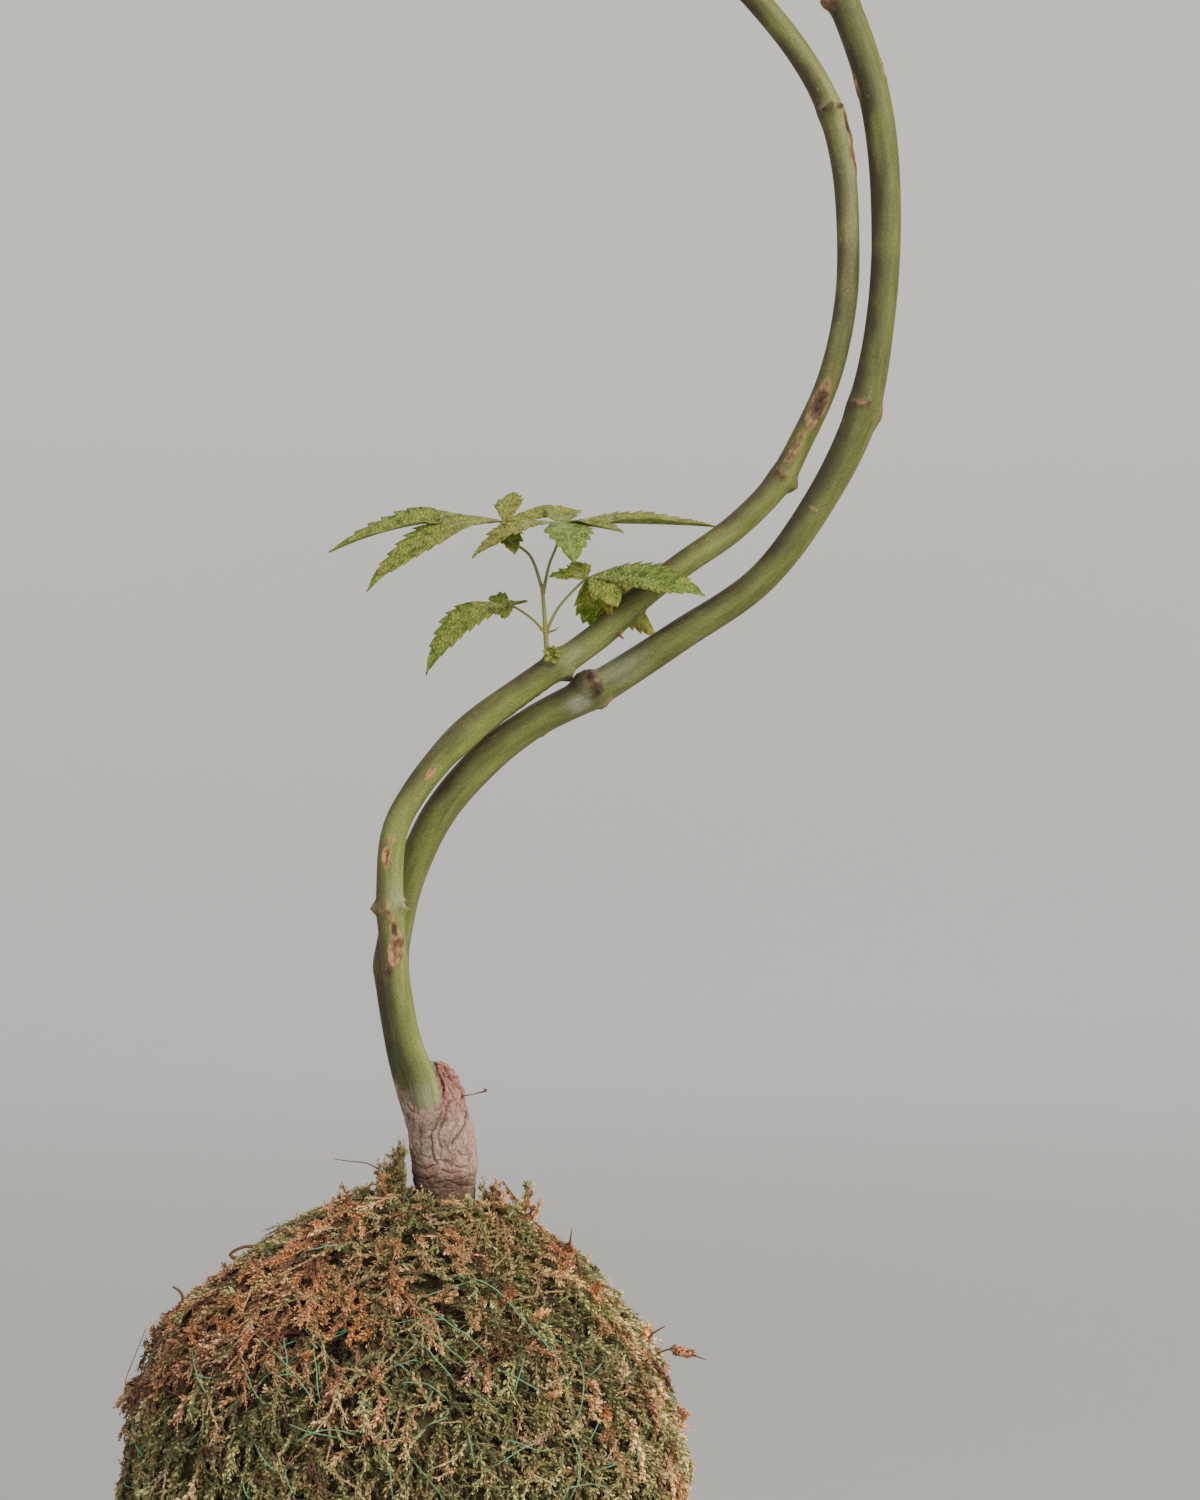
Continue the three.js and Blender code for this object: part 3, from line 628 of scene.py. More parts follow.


# %% [markdown]
# ## Shoots all over
# The ball is thatched with shoots that overlap at different depths. Most of them hang down its
# side, with a good deal of wandering. Each starts in the mat, lies over its neighbours and ends in
# a tip that lifts or sinks a little, and one in fourteen stands off. The deeper it lies, the darker
# its colour is painted, as shade. They are made in bands from the top down, to keep each mesh small.

# %% Shoots
SHOOTS, BANDS = 11400, 6
SCALES = 28                # little leaves on a shoot
rng = np.random.default_rng(11)
out = spread(SHOOTS, rng)
out = out[kept_off_trunk(out)]
count = len(out)
ahead = turned(out, downhill(out), rng.normal(0, 0.75, count))
length = rng.uniform(5.5, 13, count)
width = rng.uniform(1.3, 2.4, count)
layer = rng.random(count)
aside = length[:, None] * rng.normal(0, 1, (count, 4)) * [0, 0.2, 0.34, 0.45]
stray = (rng.random(count) < 0.07) * rng.uniform(1, 4, count)
height = -3.0 + layer * (3.0 + moss_top(out) - 0.5 * width)
height = height[:, None] + rng.normal(0, 0.75, (count, 4))
height += [-1.6, 0.3, 0.4, -0.2] + stray[:, None] * [0, 0, 0.3, 1]
bend = lying(out, ahead, length, aside, height)
# the deeper a shoot lies, the darker it is painted: painted shade
tints = shoot_tints(out, dryness(out), rng) * (0.28 + 0.88 * layer[:, None])
for band, part in enumerate(np.array_split(np.arange(count), BANDS), start=1):
    moss_piece(f"moss_shoots_{band}",
               braided(bend[part], out[part], width[part], SCALES, tints[part], rng))

# %% [markdown]
# ## Long strands
# Long ropy strands lie over the shoots and droop down the ball, closest together where the moss
# has dried. Each carries short side shoots, left and right in turn, as feather moss does. They are
# picked from many evenly spread places by how dry the moss is there.

# %% Long strands
SIDE_SHOOTS, SIDE_SCALES = 4, 13
PLACES = 7000


def branched(bend, out, width, scales, tints, rng, side=(0.16, 0.34)):
    """Braided shoots, each with side shoots that leave it at 30 to 60 degrees and are a share of
    its own length."""
    count = len(bend)
    reach = np.linalg.norm(bend[:, 3] - bend[:, 0], axis=1)[:, None, None]
    share = np.arange(4)[:, None] / 3
    lots = [braided(bend, out, width, scales, tints, rng)]
    for k in range(SIDE_SHOOTS):
        spot, way = bezier(bend, np.full((count, 1), 0.2 + 0.18 * k))
        hand = (-1) ** k * unit(np.cross(out, way[:, 0]))[:, None]
        angle = rng.uniform(0.5, 1.05, (count, 1, 1))
        long = reach * rng.uniform(*side, (count, 1, 1))
        twig = spot + long * share * (way * np.cos(angle) + hand * np.sin(angle))
        twig = twig + long * rng.normal(0, 0.12, (count, 4, 3)) * share
        twig_tints = tints * rng.uniform(0.85, 1.25, (count, 1))
        lots.append(braided(twig, out, width * 0.75, SIDE_SCALES, twig_tints, rng))
    return gathered(lots)


rng = np.random.default_rng(23)
many = spread(PLACES, rng)
dry = dryness(many)
for name, chance, dried in (("dried", dry * 0.42, 0.95), ("green", 0.105 * (1 - dry), 0.1)):
    out = many[(rng.random(PLACES) < chance) & kept_off_trunk(many)]
    count = len(out)
    ahead = turned(out, downhill(out), rng.normal(0, 0.55, count))
    length = rng.uniform(10, 22, count)
    aside = length[:, None] * rng.normal(0, 1, (count, 4)) * [0, 0.2, 0.3, 0.25]
    height = 0.8 * moss_top(out)[:, None] * [0.2, 1, 1, 0.9] + rng.normal(0, 0.8, (count, 4))
    bend = lying(out, ahead, length, aside, height + [-1.4, 0.5, 0.5, 0.3])
    width = rng.uniform(1.3, 2.4, count)
    tints = shoot_tints(out, np.full(count, dried), rng) * 1.12
    moss_piece(f"moss_strands_{name}", branched(bend, out, width, 46, tints, rng, side=(0.12, 0.28)))
    print(count, "long strands")

# %% [markdown]
# ## Loose tufts
# Here and there a tuft of shoots stands out of the ball, the tallest against the trunk. Each is a
# bundle of branched shoots that start on a small disc and curl up towards a tip. Most of them stand
# where the CAD model has one, and the others where the photograph shows one.

# %% Tufts
IN_A_TUFT = 13             # shoots
TUFTS = np.array([    # foot x, y, z, tip x, y, z, foot radius, drier (to 1) or darker and greener (to -1)
    [-0.8, -4, 144, -0.3, -4.5, 163.5, 1.1, -1], [-1.2, -4, 143, -0.5, -4.5, 161, 1.4, -1],
    [-2.8, -4, 142, -2.8, -4.5, 156.5, 1.7, -0.3], [-4.6, -3, 141, -5.2, -4, 155.5, 1.6, 0.3],
    [-7, -2, 138, -7.0, -3, 144, 2.6, 0], [-14, -4, 137.5, -16, -6, 144.5, 4.2, 1],
    [23, -4, 137, 25, -5, 152, 3, 0.3], [28, -2, 134, 31, -3, 149, 3.6, 0.3],
    [8, -10, 137, 5.5, -13.5, 147.5, 3, -0.3], [13, -10, 137, 12.5, -14, 147, 3, -0.2],
    [17.5, -7, 137, 20.5, -12, 146.5, 3, 0], [61, -5, 107, 64, -6, 113.2, 1.0, 0.6],
    [68.5, -8.8, 106.6, 75.5, -9.8, 104.8, 0.2, 1], [41.6, -3, 127, 43, -3.4, 133.5, 0.8, 1],
    [35, -2, 128, 37.5, -2, 133, 3.5, 0], [44, 3, 121, 47, 4, 127, 3, 0],
    [-27, -6, 129, -30, -7, 138, 4.5, 0], [-40, 0, 119, -44, -1, 126.5, 4, 0],
    [-58, -3, 104, -64, -4, 112, 3.6, 1], [-64, -6, 99.5, -73.5, -7, 90.8, 2.0, 1],
    [66, -3, 83, 74, -3, 84.5, 3.2, 0.8], [67, -3, 86, 72.5, -3.5, 91, 1.5, 1],
    [60, 0, 98, 66, -1, 104, 3.2, 0], [10, 22, 134, 12, 26, 146, 5, 0],
    [-24, 38, 118, -28, 46, 124, 4.5, 0], [38, 42, 105, 44, 49, 110, 4.5, 0],
    [-58, 28, 92, -65, 32, 96, 4, 0], [18, -8, 135, 20, -12, 143, 5, 0], [4, -12, 135, 3, -17, 142, 5, 0],
    [-8, -10, 135, -10, -15, 141, 5, 0],
])
rng = np.random.default_rng(31)
tuft = np.repeat(TUFTS, IN_A_TUFT, axis=0)
count = len(tuft)
rise = tuft[:, 3:6] - tuft[:, :3]
loose = unit(np.cross(rise, rng.normal(0, 1, (count, 3))))
foot = tuft[:, :3] + loose * tuft[:, 6:7] * rng.uniform(0, 1, (count, 1))
tip = foot + rise * rng.uniform(0.3, 1.0, (count, 1)) + rng.normal(0, 0.4, (count, 3)) * tuft[:, 6:7]
share = np.arange(4)[:, None] / 3
bend = foot[:, None] + (tip - foot)[:, None] * share
curl = np.array([0, 0.36, 0.36, 0.0])[:, None]
bend = bend + rng.normal(0, 1, (count, 4, 3)) * curl * tuft[:, 6, None, None]
out = unit(foot - BALL)
width = rng.uniform(1.6, 2.6, count)
tints = shoot_tints(out, np.clip(dryness(out) + tuft[:, 7], 0, 1), rng)
tints = tints * (1 + 0.35 * np.minimum(tuft[:, 7:], 0))
moss_piece("moss_tufts", branched(bend, loose, width, 30, tints, rng, side=(0.05, 0.15)))

# %% [markdown]
# ## Strands that the photograph shows
# The most prominent dried strands on the front are laid where the photograph has them. Each is a
# Bezier curve through four even points p0 to p3 of its line, so its inner points are
# (-5 p0 + 18 p1 - 9 p2 + 2 p3) / 6 and the same backwards.

# %% Strands that show
STRANDS = [    # pixels of the photograph, width in mm, 0 for tan to 1 for orange
    ([(502, 1205), (505, 1238), (513, 1268)], 1.7, 0.2),
    ([(496, 1212), (498, 1228), (497, 1245)], 1.3, 0.2),
    ([(472, 1222), (464, 1240), (462, 1262), (478, 1279)], 1.8, 0.3),
    ([(478, 1225), (474, 1240), (470, 1256)], 1.5, 0.2),
    ([(375, 1254), (380, 1243), (390, 1237), (397, 1246), (392, 1262)], 1.8, 0.6),
    ([(398, 1222), (400, 1240), (398, 1258)], 1.3, 0.1),
    ([(392, 1262), (395, 1278), (404, 1292)], 2.2, 0.9),
    ([(372, 1296), (385, 1301), (400, 1299)], 1.7, 0.4),
    ([(449, 1286), (441, 1295), (431, 1303)], 1.7, 0.3),
    ([(457, 1289), (452, 1296), (446, 1303)], 1.5, 0.3),
    ([(360, 1262), (355, 1266), (350, 1270)], 1.6, 0.3),
    ([(513, 1286), (509, 1294), (506, 1302)], 1.9, 1.0),
    ([(530, 1321), (541, 1314), (550, 1310)], 2.0, 0.6),
    ([(444, 1229), (452, 1233), (459, 1238)], 1.8, 0.5),
    ([(440, 1204), (452, 1202), (464, 1206)], 1.5, 0.3),
    ([(468, 1207), (482, 1204), (492, 1197)], 1.3, 0.2),
    ([(326, 1263), (332, 1273), (340, 1284)], 1.8, 0.5),
    ([(318, 1262), (322, 1275), (327, 1290)], 1.6, 0.7),
    ([(345, 1280), (338, 1295), (333, 1312)], 1.8, 0.6),
    ([(330, 1290), (326, 1305), (322, 1318)], 1.7, 0.8),
    ([(352, 1284), (350, 1300), (346, 1316)], 1.8, 0.8),
    ([(360, 1290), (362, 1308), (357, 1326)], 1.8, 0.9),
    ([(340, 1318), (335, 1330), (325, 1340)], 1.8, 0.8),
    ([(360, 1320), (352, 1332), (350, 1345)], 2.0, 1.0),
    ([(372, 1325), (366, 1334), (356, 1340)], 2.0, 1.0),
    ([(296, 1290), (300, 1308), (303, 1328)], 1.3, 0.6),
    ([(310, 1303), (303, 1316), (300, 1330)], 1.3, 0.5),
    ([(292, 1308), (284, 1322), (278, 1332)], 1.2, 0.5),
    ([(318, 1310), (314, 1322), (312, 1333)], 1.6, 0.3),
    ([(245, 1326), (243, 1342), (242, 1356)], 1.6, 0.7),
    ([(210, 1299), (225, 1299), (238, 1303)], 1.6, 0.6),
    ([(240, 1290), (238, 1302), (243, 1316)], 1.8, 0.8),
    ([(205, 1322), (220, 1322), (236, 1328)], 1.8, 1.0),
    ([(195, 1318), (190, 1330), (197, 1345)], 1.8, 1.0),
    ([(180, 1303), (172, 1318), (170, 1332)], 1.6, 0.9),
    ([(250, 1262), (243, 1272), (240, 1282)], 1.6, 0.8),
    ([(262, 1268), (255, 1278), (246, 1284)], 1.6, 0.9),
    ([(285, 1250), (280, 1258), (272, 1265)], 1.8, 1.0),
    ([(300, 1242), (290, 1250), (283, 1262)], 2.0, 1.0),
    ([(310, 1270), (300, 1276), (292, 1284)], 1.8, 0.8),
    ([(280, 1282), (268, 1286), (258, 1292)], 1.6, 0.6),
    ([(356, 1215), (352, 1228), (345, 1240)], 1.6, 0.8),
    ([(345, 1200), (350, 1212), (362, 1220)], 1.8, 0.8),
    ([(335, 1198), (330, 1210), (333, 1222)], 1.6, 0.7),
    ([(597, 1284), (595, 1292), (598, 1299)], 2.2, 1.0),
    ([(607, 1404), (606, 1412), (609, 1419)], 2.2, 1.0),
    ([(618, 1430), (608, 1433), (601, 1441)], 1.8, 0.6),
    ([(545, 1398), (553, 1395), (562, 1392)], 1.8, 0.5),
    ([(590, 1317), (600, 1320), (612, 1333)], 1.8, 0.5),
    ([(615, 1322), (620, 1333), (628, 1345)], 1.6, 0.5),
    ([(583, 1375), (590, 1382), (598, 1385)], 1.4, 0.3),
    ([(333, 1365), (340, 1374), (345, 1384), (352, 1392)], 2.0, 0.5),
    ([(325, 1375), (332, 1385), (336, 1395)], 1.8, 0.6),
    ([(300, 1362), (306, 1355), (313, 1352)], 1.8, 0.8),
    ([(372, 1362), (376, 1372), (382, 1382)], 1.6, 0.7),
    ([(488, 1365), (487, 1380), (489, 1392)], 1.8, 0.7),
    ([(466, 1310), (472, 1320), (480, 1330)], 1.4, 0.4),
    ([(503, 1181), (509, 1194), (522, 1204), (545, 1206)], 1.5, 0.4),
    ([(506, 1186), (516, 1200), (533, 1209), (540, 1222)], 1.5, 0.6),
    ([(492, 1196), (497, 1188), (503, 1181)], 1.3, 0.3),
    ([(552, 1252), (560, 1262), (563, 1275)], 1.5, 0.4),
]
rng = np.random.default_rng(67)
four = np.stack([smooth_path([(*p, 0.0) for p in line], 4)[:, :2] for line, _, _ in STRANDS])
height = 0.85 * moss_top(ball_under(four)) + [-0.5, 1.0, 1.0, 0.3]
p = over_moss(four, height)
bend = np.stack([p[:, 0], (-5 * p[:, 0] + 18 * p[:, 1] - 9 * p[:, 2] + 2 * p[:, 3]) / 6,
                 (2 * p[:, 0] - 9 * p[:, 1] + 18 * p[:, 2] - 5 * p[:, 3]) / 6, p[:, 3]], axis=1)
wide, tone = (np.array([[line[k]] for line in STRANDS]) for k in (1, 2))
tints = (1 - tone) * linear("#c6a46e") + tone * linear("#cb8a56")
tints = tints * rng.uniform(0.85, 1.35, (len(tints), 1))
moss_piece("moss_strands_front", branched(bend, unit(bend[:, 1] - BALL), wide[:, 0], 40, tints, rng,
                                          side=(0.08, 0.22)))

# %% [markdown]
# ## Binding thread
# Thread holds the moss on. It is pulled round the ball many times and sinks between the shoots, so
# only short pieces of each turn show. Every turn is a circle cut from the ball by a plane; here
# it stays low in the moss, and the pieces that show in the photograph ride up over it.

# %% Polyester thread
# Two plies twisted together, dyed emerald, with the slight gloss of polyester.
thread_dye, tree, shader = finish("polyester_thread", {"Roughness": 0.45, "IOR": 1.5,
                                                       "Sheen Weight": 0.2})
place = add(tree, "TexCoord").outputs["Object"]
faded = add(tree, "TexNoise", {"Scale": 90.0, "Detail": 2.0}, {"Vector": place})
shade = add(tree, "Mix", {"data_type": "RGBA", 6: rgba("#3c7d4d"), 7: rgba("#74b081")},
            {0: faded.outputs["Fac"]}).outputs[2]
tree.links.new(shade, shader.inputs["Base Color"])

# %% Thread
THREAD_R = 0.16            # mm
TURNS = np.array([    # the normal of each turn's plane, and its distance from the ball's middle
    [0.35, -0.62, 0.7, 4], [-0.7, -0.3, 0.62, -6], [0.75, 0.15, 0.62, 8], [-0.1, 0.72, 0.66, -3],
    [0.1, -0.2, 0.97, -12], [-0.45, 0.5, 0.72, 16],
])
SHOWING = [    # pieces of thread that show, as the photograph has them, in its pixels
    [(415, 1305), (447, 1324), (480, 1347)],
    [(473, 1280), (503, 1300), (523, 1323), (547, 1347), (565, 1368)],
    [(418, 1323), (437, 1340), (463, 1360)], [(422, 1343), (436, 1361), (452, 1375)],
    [(505, 1370), (523, 1382), (542, 1390)], [(477, 1372), (502, 1393)], [(468, 1390), (498, 1410)],
    [(525, 1355), (519, 1375), (513, 1395)], [(580, 1357), (583, 1385), (582, 1413)],
    [(593, 1373), (603, 1362)], [(423, 1382), (447, 1397)], [(433, 1390), (428, 1402), (425, 1412)],
    [(395, 1362), (408, 1372)], [(402, 1383), (418, 1383)], [(427, 1425), (447, 1417)],
    [(257, 1333), (268, 1346), (282, 1360), (296, 1377), (308, 1395)],
    [(283, 1338), (288, 1357), (285, 1373)], [(272, 1378), (293, 1373)],
    [(313, 1345), (317, 1370), (318, 1393)], [(192, 1350), (202, 1390)], [(243, 1365), (257, 1397)],
    [(300, 1257), (342, 1248)], [(290, 1424), (310, 1432), (335, 1436)],
    [(296, 1440), (325, 1430), (352, 1434)], [(350, 1430), (376, 1434)], [(283, 1470), (290, 1492)],
    [(255, 1448), (272, 1470)], [(497, 1465), (520, 1450), (532, 1442)],
    [(512, 1440), (540, 1450), (556, 1446)], [(573, 1435), (580, 1465), (577, 1496)],
    [(600, 1470), (622, 1462)], [(637, 1430), (641, 1462)], [(560, 1492), (590, 1484), (612, 1490)],
    [(468, 1430), (473, 1458)], [(390, 1470), (392, 1494)], [(240, 1482), (247, 1499)],
]


def thread_mesh(paths, sides=8, pitch=2.2):
    """Tubes whose radius is THREAD_R * (1 + 0.16 cos(2a - 2 pi s / pitch)): two plies wound together,
    s mm along the thread. Returns points, none of them under the floor, and faces."""
    far = np.cumsum(np.linalg.norm(np.diff(paths, axis=1, prepend=paths[:, :1]), axis=2), axis=1)
    plies = 1 + 0.16 * np.cos(2 * round_about(sides)[None, None] - 2 * np.pi * far[..., None] / pitch)
    points, faces = closed(tube(paths, THREAD_R * plies, sides, unit(paths - BALL)))
    return above_floor(points), faces


rng = np.random.default_rng(5)
a = np.linspace(0, 2 * np.pi, 700)[None, :, None]
normal = unit(TURNS[:, None, :3])
e1 = unit(np.cross([0.0, 0.0, 1.0], normal))
round_ball = unit(np.cos(a) * e1 + np.sin(a) * np.cross(normal, e1)
                  + normal * TURNS[:, None, 3:] / BALL_R)
turns = on_ball(round_ball, 0.3 + 1.5 * noise(round_ball * BALL_R, 9, 21))
points, faces = thread_mesh(turns)
piece("thread_turns", points, faces, thread_dye, replaces=["binding_thread"])
print("thread in the turns, in m:",
      round(float(np.linalg.norm(np.diff(turns, axis=1), axis=2).sum()) * MM, 2))

# %% [markdown]
# The pieces that show are laid where the photograph has them, and others like them all round the
# rest of the ball. Each one rises out of the moss, lies over the shoots and goes back in.

# %% Thread that shows
STEPS = 30                 # points along a piece
SCATTERED = 330            # pieces that lie anywhere, before most of those in front are left out
FRONT = ball_under([[403, 1400]])[0]       # the middle of the side that the photograph shows


def laid(directions, top=2.2, deep=3.2):
    """Points along pieces of thread, at the height top - deep u^4 over the broad shape, plus a little
    noise, where u runs from -1 at one end of a piece to 1 at the other."""
    u = np.linspace(-1, 1, directions.shape[1])[None]
    return on_ball(directions, top - deep * u**4 + 0.5 * noise(directions * BALL_R, 3, 9))


seen = np.stack([ball_under(smooth_path([(*p, 0.0) for p in shown], STEPS)[:, :2], 3.0)
                 for shown in SHOWING])
beyond = unit(seen + 0.35 * (seen - seen[:, 14:15]))    # carried on a little at both ends
placed = laid(beyond, moss_top(beyond) + 0.3, 4.0)
start = spread(SCATTERED, rng)
start = start[(FRONT @ start.T < 0.45) | (rng.random(SCATTERED) < 0.08)]
way = unit(np.cross(start, rng.normal(0, 1, start.shape)))
bow = np.cross(start, way) * rng.normal(0, 0.25, (len(start), 1))
u = np.linspace(-1, 1, STEPS)[None, :, None] * rng.uniform(0.05, 0.16, (len(start), 1, 1))
scattered = laid(unit(start[:, None] + u * way[:, None] + u**2 * bow[:, None] * 4))
paths = np.vstack([placed, scattered])
points, faces = thread_mesh(paths, sides=6)
piece("thread_over_moss", points, faces, thread_dye)
print(len(paths), "pieces of thread show")

# %% [markdown]
# ## Dead roots and wisps
# Fine brown roots and fibres lie in the moss: a tangle right of the middle, single ones anywhere,
# and a few wisps that stick out of the outline. They are the same tubes, tapered, with few sides.

# %% Dry fibres
# Dead root fibre: brown, matt, hair-thin.
fibre, tree, shader = finish("dry_root_fibre", {"Roughness": 0.85, "Specular IOR Level": 0.3})
place = add(tree, "TexCoord").outputs["Object"]
varied = add(tree, "TexNoise", {"Scale": 120.0, "Detail": 3.0}, {"Vector": place})
shade = add(tree, "Mix", {"data_type": "RGBA", 6: rgba("#3b2a1d"), 7: rgba("#8a6547")},
            {0: varied.outputs["Fac"]}).outputs[2]
tree.links.new(shade, shader.inputs["Base Color"])

# %% Roots in the moss
rng = np.random.default_rng(41)
tangle = ball_under([[500, 1340]]) + rng.normal(0, 0.07, (90, 3))
start = unit(np.vstack([tangle, spread(420, rng)]))
start = start[kept_off_trunk(start)]
way = unit(np.cross(start, rng.normal(0, 1, start.shape)))
u = np.linspace(-1, 1, 10)[None, :, None]
half = rng.uniform(0.025, 0.075, (len(start), 1, 1))
bow = rng.normal(0, 0.5, (len(start), 1, 1)) * half
curled = unit(start[:, None] + u * half * way[:, None]
              + (u**2 + 0.5 * u**3) * bow * np.cross(start, way)[:, None])
paths = on_ball(curled, rng.uniform(0.8, 2.8, (len(start), 1)) - 1.6 * u[..., 0]**2)
thin = rng.uniform(0.10, 0.2, (len(start), 1, 1)) * (1 - 0.6 * np.abs(u))
points, faces = closed(tube(paths, np.repeat(thin, 4, axis=2), 4, unit(paths - BALL)))
piece("dead_roots", above_floor(points), faces, fibre)

# %% Wisps outside the outline
WISPS = [    # x, y, z and radius in mm along each wisp, from where it starts in the moss or the plant
    [(13.5, 0, 170, 0.22), (15.8, -1, 170.2, 0.18), (19, -2, 170.9, 0.15), (21.6, -3, 171.8, 0.3),
     (20.8, -3.2, 172.2, 0.2)],
    [(-5, -3, 151, 0.25), (-9, -4, 153.2, 0.18), (-13, -5, 153.8, 0.14), (-17.5, -6, 154.6, 0.1)],
    [(-66, -22, 96, 0.25), (-68.5, -21, 99.5, 0.16), (-66.5, -20, 106, 0.13), (-63.5, -19, 113.5, 0.1)],
    [(65, -8, 105.2, 0.3), (69, -9, 106.6, 0.24), (72, -9.4, 106, 0.3), (74.5, -9.7, 105, 0.25),
     (77.5, -10, 104, 0.12)],
    [(36, -4, 129, 0.35), (37.5, -4.5, 133, 0.25), (38.6, -5, 135.2, 0.12)],
    [(41.5, -3, 126, 0.6), (42.6, -3, 131, 0.45), (43.5, -3.5, 136.5, 0.1)],
    [(46, -6, 124, 0.5), (45, -7, 128, 0.4), (44.4, -7, 131.5, 0.1)],
    [(54.9, -2.5, 290, 0.5), (55.8, -3, 288.2, 0.45), (56.8, -3.4, 287.3, 0.15)],
    [(-56.6, -10, 116.5, 0.4), (-55.4, -10, 119.6, 0.45), (-56.2, -10, 121.4, 0.4), (-58, -10, 122.6, 0.25)],
    [(-46, -6, 121, 0.5), (-45.7, -6, 124, 0.4), (-45.3, -6, 127, 0.3)],
    [(-34.5, -4, 131.8, 0.5), (-40.6, -5, 131.9, 0.45), (-43.9, -5, 129.9, 0.5),
     (-41, -5.5, 128.6, 0.6), (-36.5, -5.5, 127.8, 0.5)],
    [(-53, -28, 112, 0.3), (-50.5, -29, 107, 0.28), (-50.5, -30, 102, 0.15)],
    [(60, -5, 106, 0.4), (63.5, -5.5, 109.5, 0.35), (67.3, -6, 111.9, 0.15)],
    [(-40, 54, 100, 0.3), (-46, 60, 104, 0.2), (-50, 63, 111, 0.1)],
]
paths = np.stack([smooth_path(w, 24) for w in WISPS])
points, faces = closed(tube(paths[..., :3], np.repeat(paths[..., 3:], 6, axis=2), 6))
piece("wisps", points, faces, fibre)

# %% [markdown]
# ## Trunk
# The plant's old base: pinkish-brown bark, wrinkled where it swells, with the stump of an older
# trunk on its right. At each height the outline is the union of two ovals, trunk and stump, seen
# from one middle: along each direction, the farther of the two edges, blended softly.

# %% Trunk shape
TRUNK = np.array([    # x, y, z, half width, half depth
    [10.8, 0, 112, 11.5, 11], [10.8, 0, 124, 11, 10.5], [10.8, 0, 132, 8.8, 8.4], [10.8, 0, 140, 7.6, 7.3],
    [10.8, 0, 146, 7.5, 7.3], [10.7, 0, 150.5, 8.3, 8.0], [10.5, 0, 156, 8.7, 8.5], [9.6, 0, 161, 8.4, 8.4],
    [8.3, 0.2, 165.5, 7.6, 7.9], [6.8, 0.8, 169, 6.6, 6.9], [6, 1.4, 171.5, 4.8, 4.6],
    [5.6, 1.6, 173.5, 1.0, 1.0], [5.6, 1.6, 180, 0.2, 0.2],
])
STUMP = np.array([
    [11.2, 1.6, 112, 1, 1], [11.2, 1.6, 156, 5.5, 5.4], [11.2, 1.6, 160, 6.6, 6.2],
    [11, 2.4, 166, 5.6, 5.4], [10.9, 2.7, 169.7, 4.8, 4.8], [10.4, 3.1, 172.5, 4.4, 4.3],
    [9.8, 3.4, 174.9, 3.9, 3.8], [9.2, 3.6, 176.6, 3.3, 3.0], [9.0, 3.7, 177.8, 2.0, 1.9],
    [9.0, 3.8, 178.6, 0.9, 0.9],
])


def oval_reach(middle, ovals, z, a):
    """How far from middle the edge of the oval at height z lies in direction a: the far root of
    |(middle + r u - centre) / half widths| = 1."""
    cx, cy, rx, ry = (np.interp(z, ovals[:, 2], ovals[:, k])[:, None] for k in (0, 1, 3, 4))
    ux, uy = np.sin(a) / rx, -np.cos(a) / ry
    px, py = (middle[:, :1] - cx) / rx, (middle[:, 1:] - cy) / ry
    A, B, C = ux**2 + uy**2, px * ux + py * uy, px**2 + py**2 - 1
    return np.maximum((-B + np.sqrt(np.maximum(B * B - A * C, 0))) / A, 0)


z = np.concatenate([np.linspace(112, 141, 24, endpoint=False), np.linspace(141, 178.6, 300)])
rows, sides = len(z), 280
middle = np.stack([np.interp(z, [112, 156, 168, 179], [10.8, 10.7, 9.8, 9.0]),
                   np.interp(z, [112, 156, 168, 179], [0.0, 0.2, 2.4, 3.7])], axis=1)
a = round_about(sides)[None]
trunk_r, stump_r = oval_reach(middle, TRUNK, z, a), oval_reach(middle, STUMP, z, a)
radius = np.log(np.exp(1.6 * trunk_r) + np.exp(1.6 * stump_r)) / 1.6
smoothed = np.stack([radius * np.sin(a), -radius * np.cos(a),
                     np.repeat(z[:, None], sides, axis=1)], axis=-1)
smoothed[..., 0] += middle[:, :1]
smoothed[..., 1] += middle[:, 1:]

# %% [markdown]
# Bark wrinkles run round the swelling like folds in a sleeve and split upwards above it. The small
# ones are folded noise, exp(-|n| / 0.07), which makes a narrow crease wherever n passes zero. The
# large ones are drawn where the photograph has them: a crease is a line in the photograph, and a
# point of the bark lies in it if its own place in the photograph is near that line.

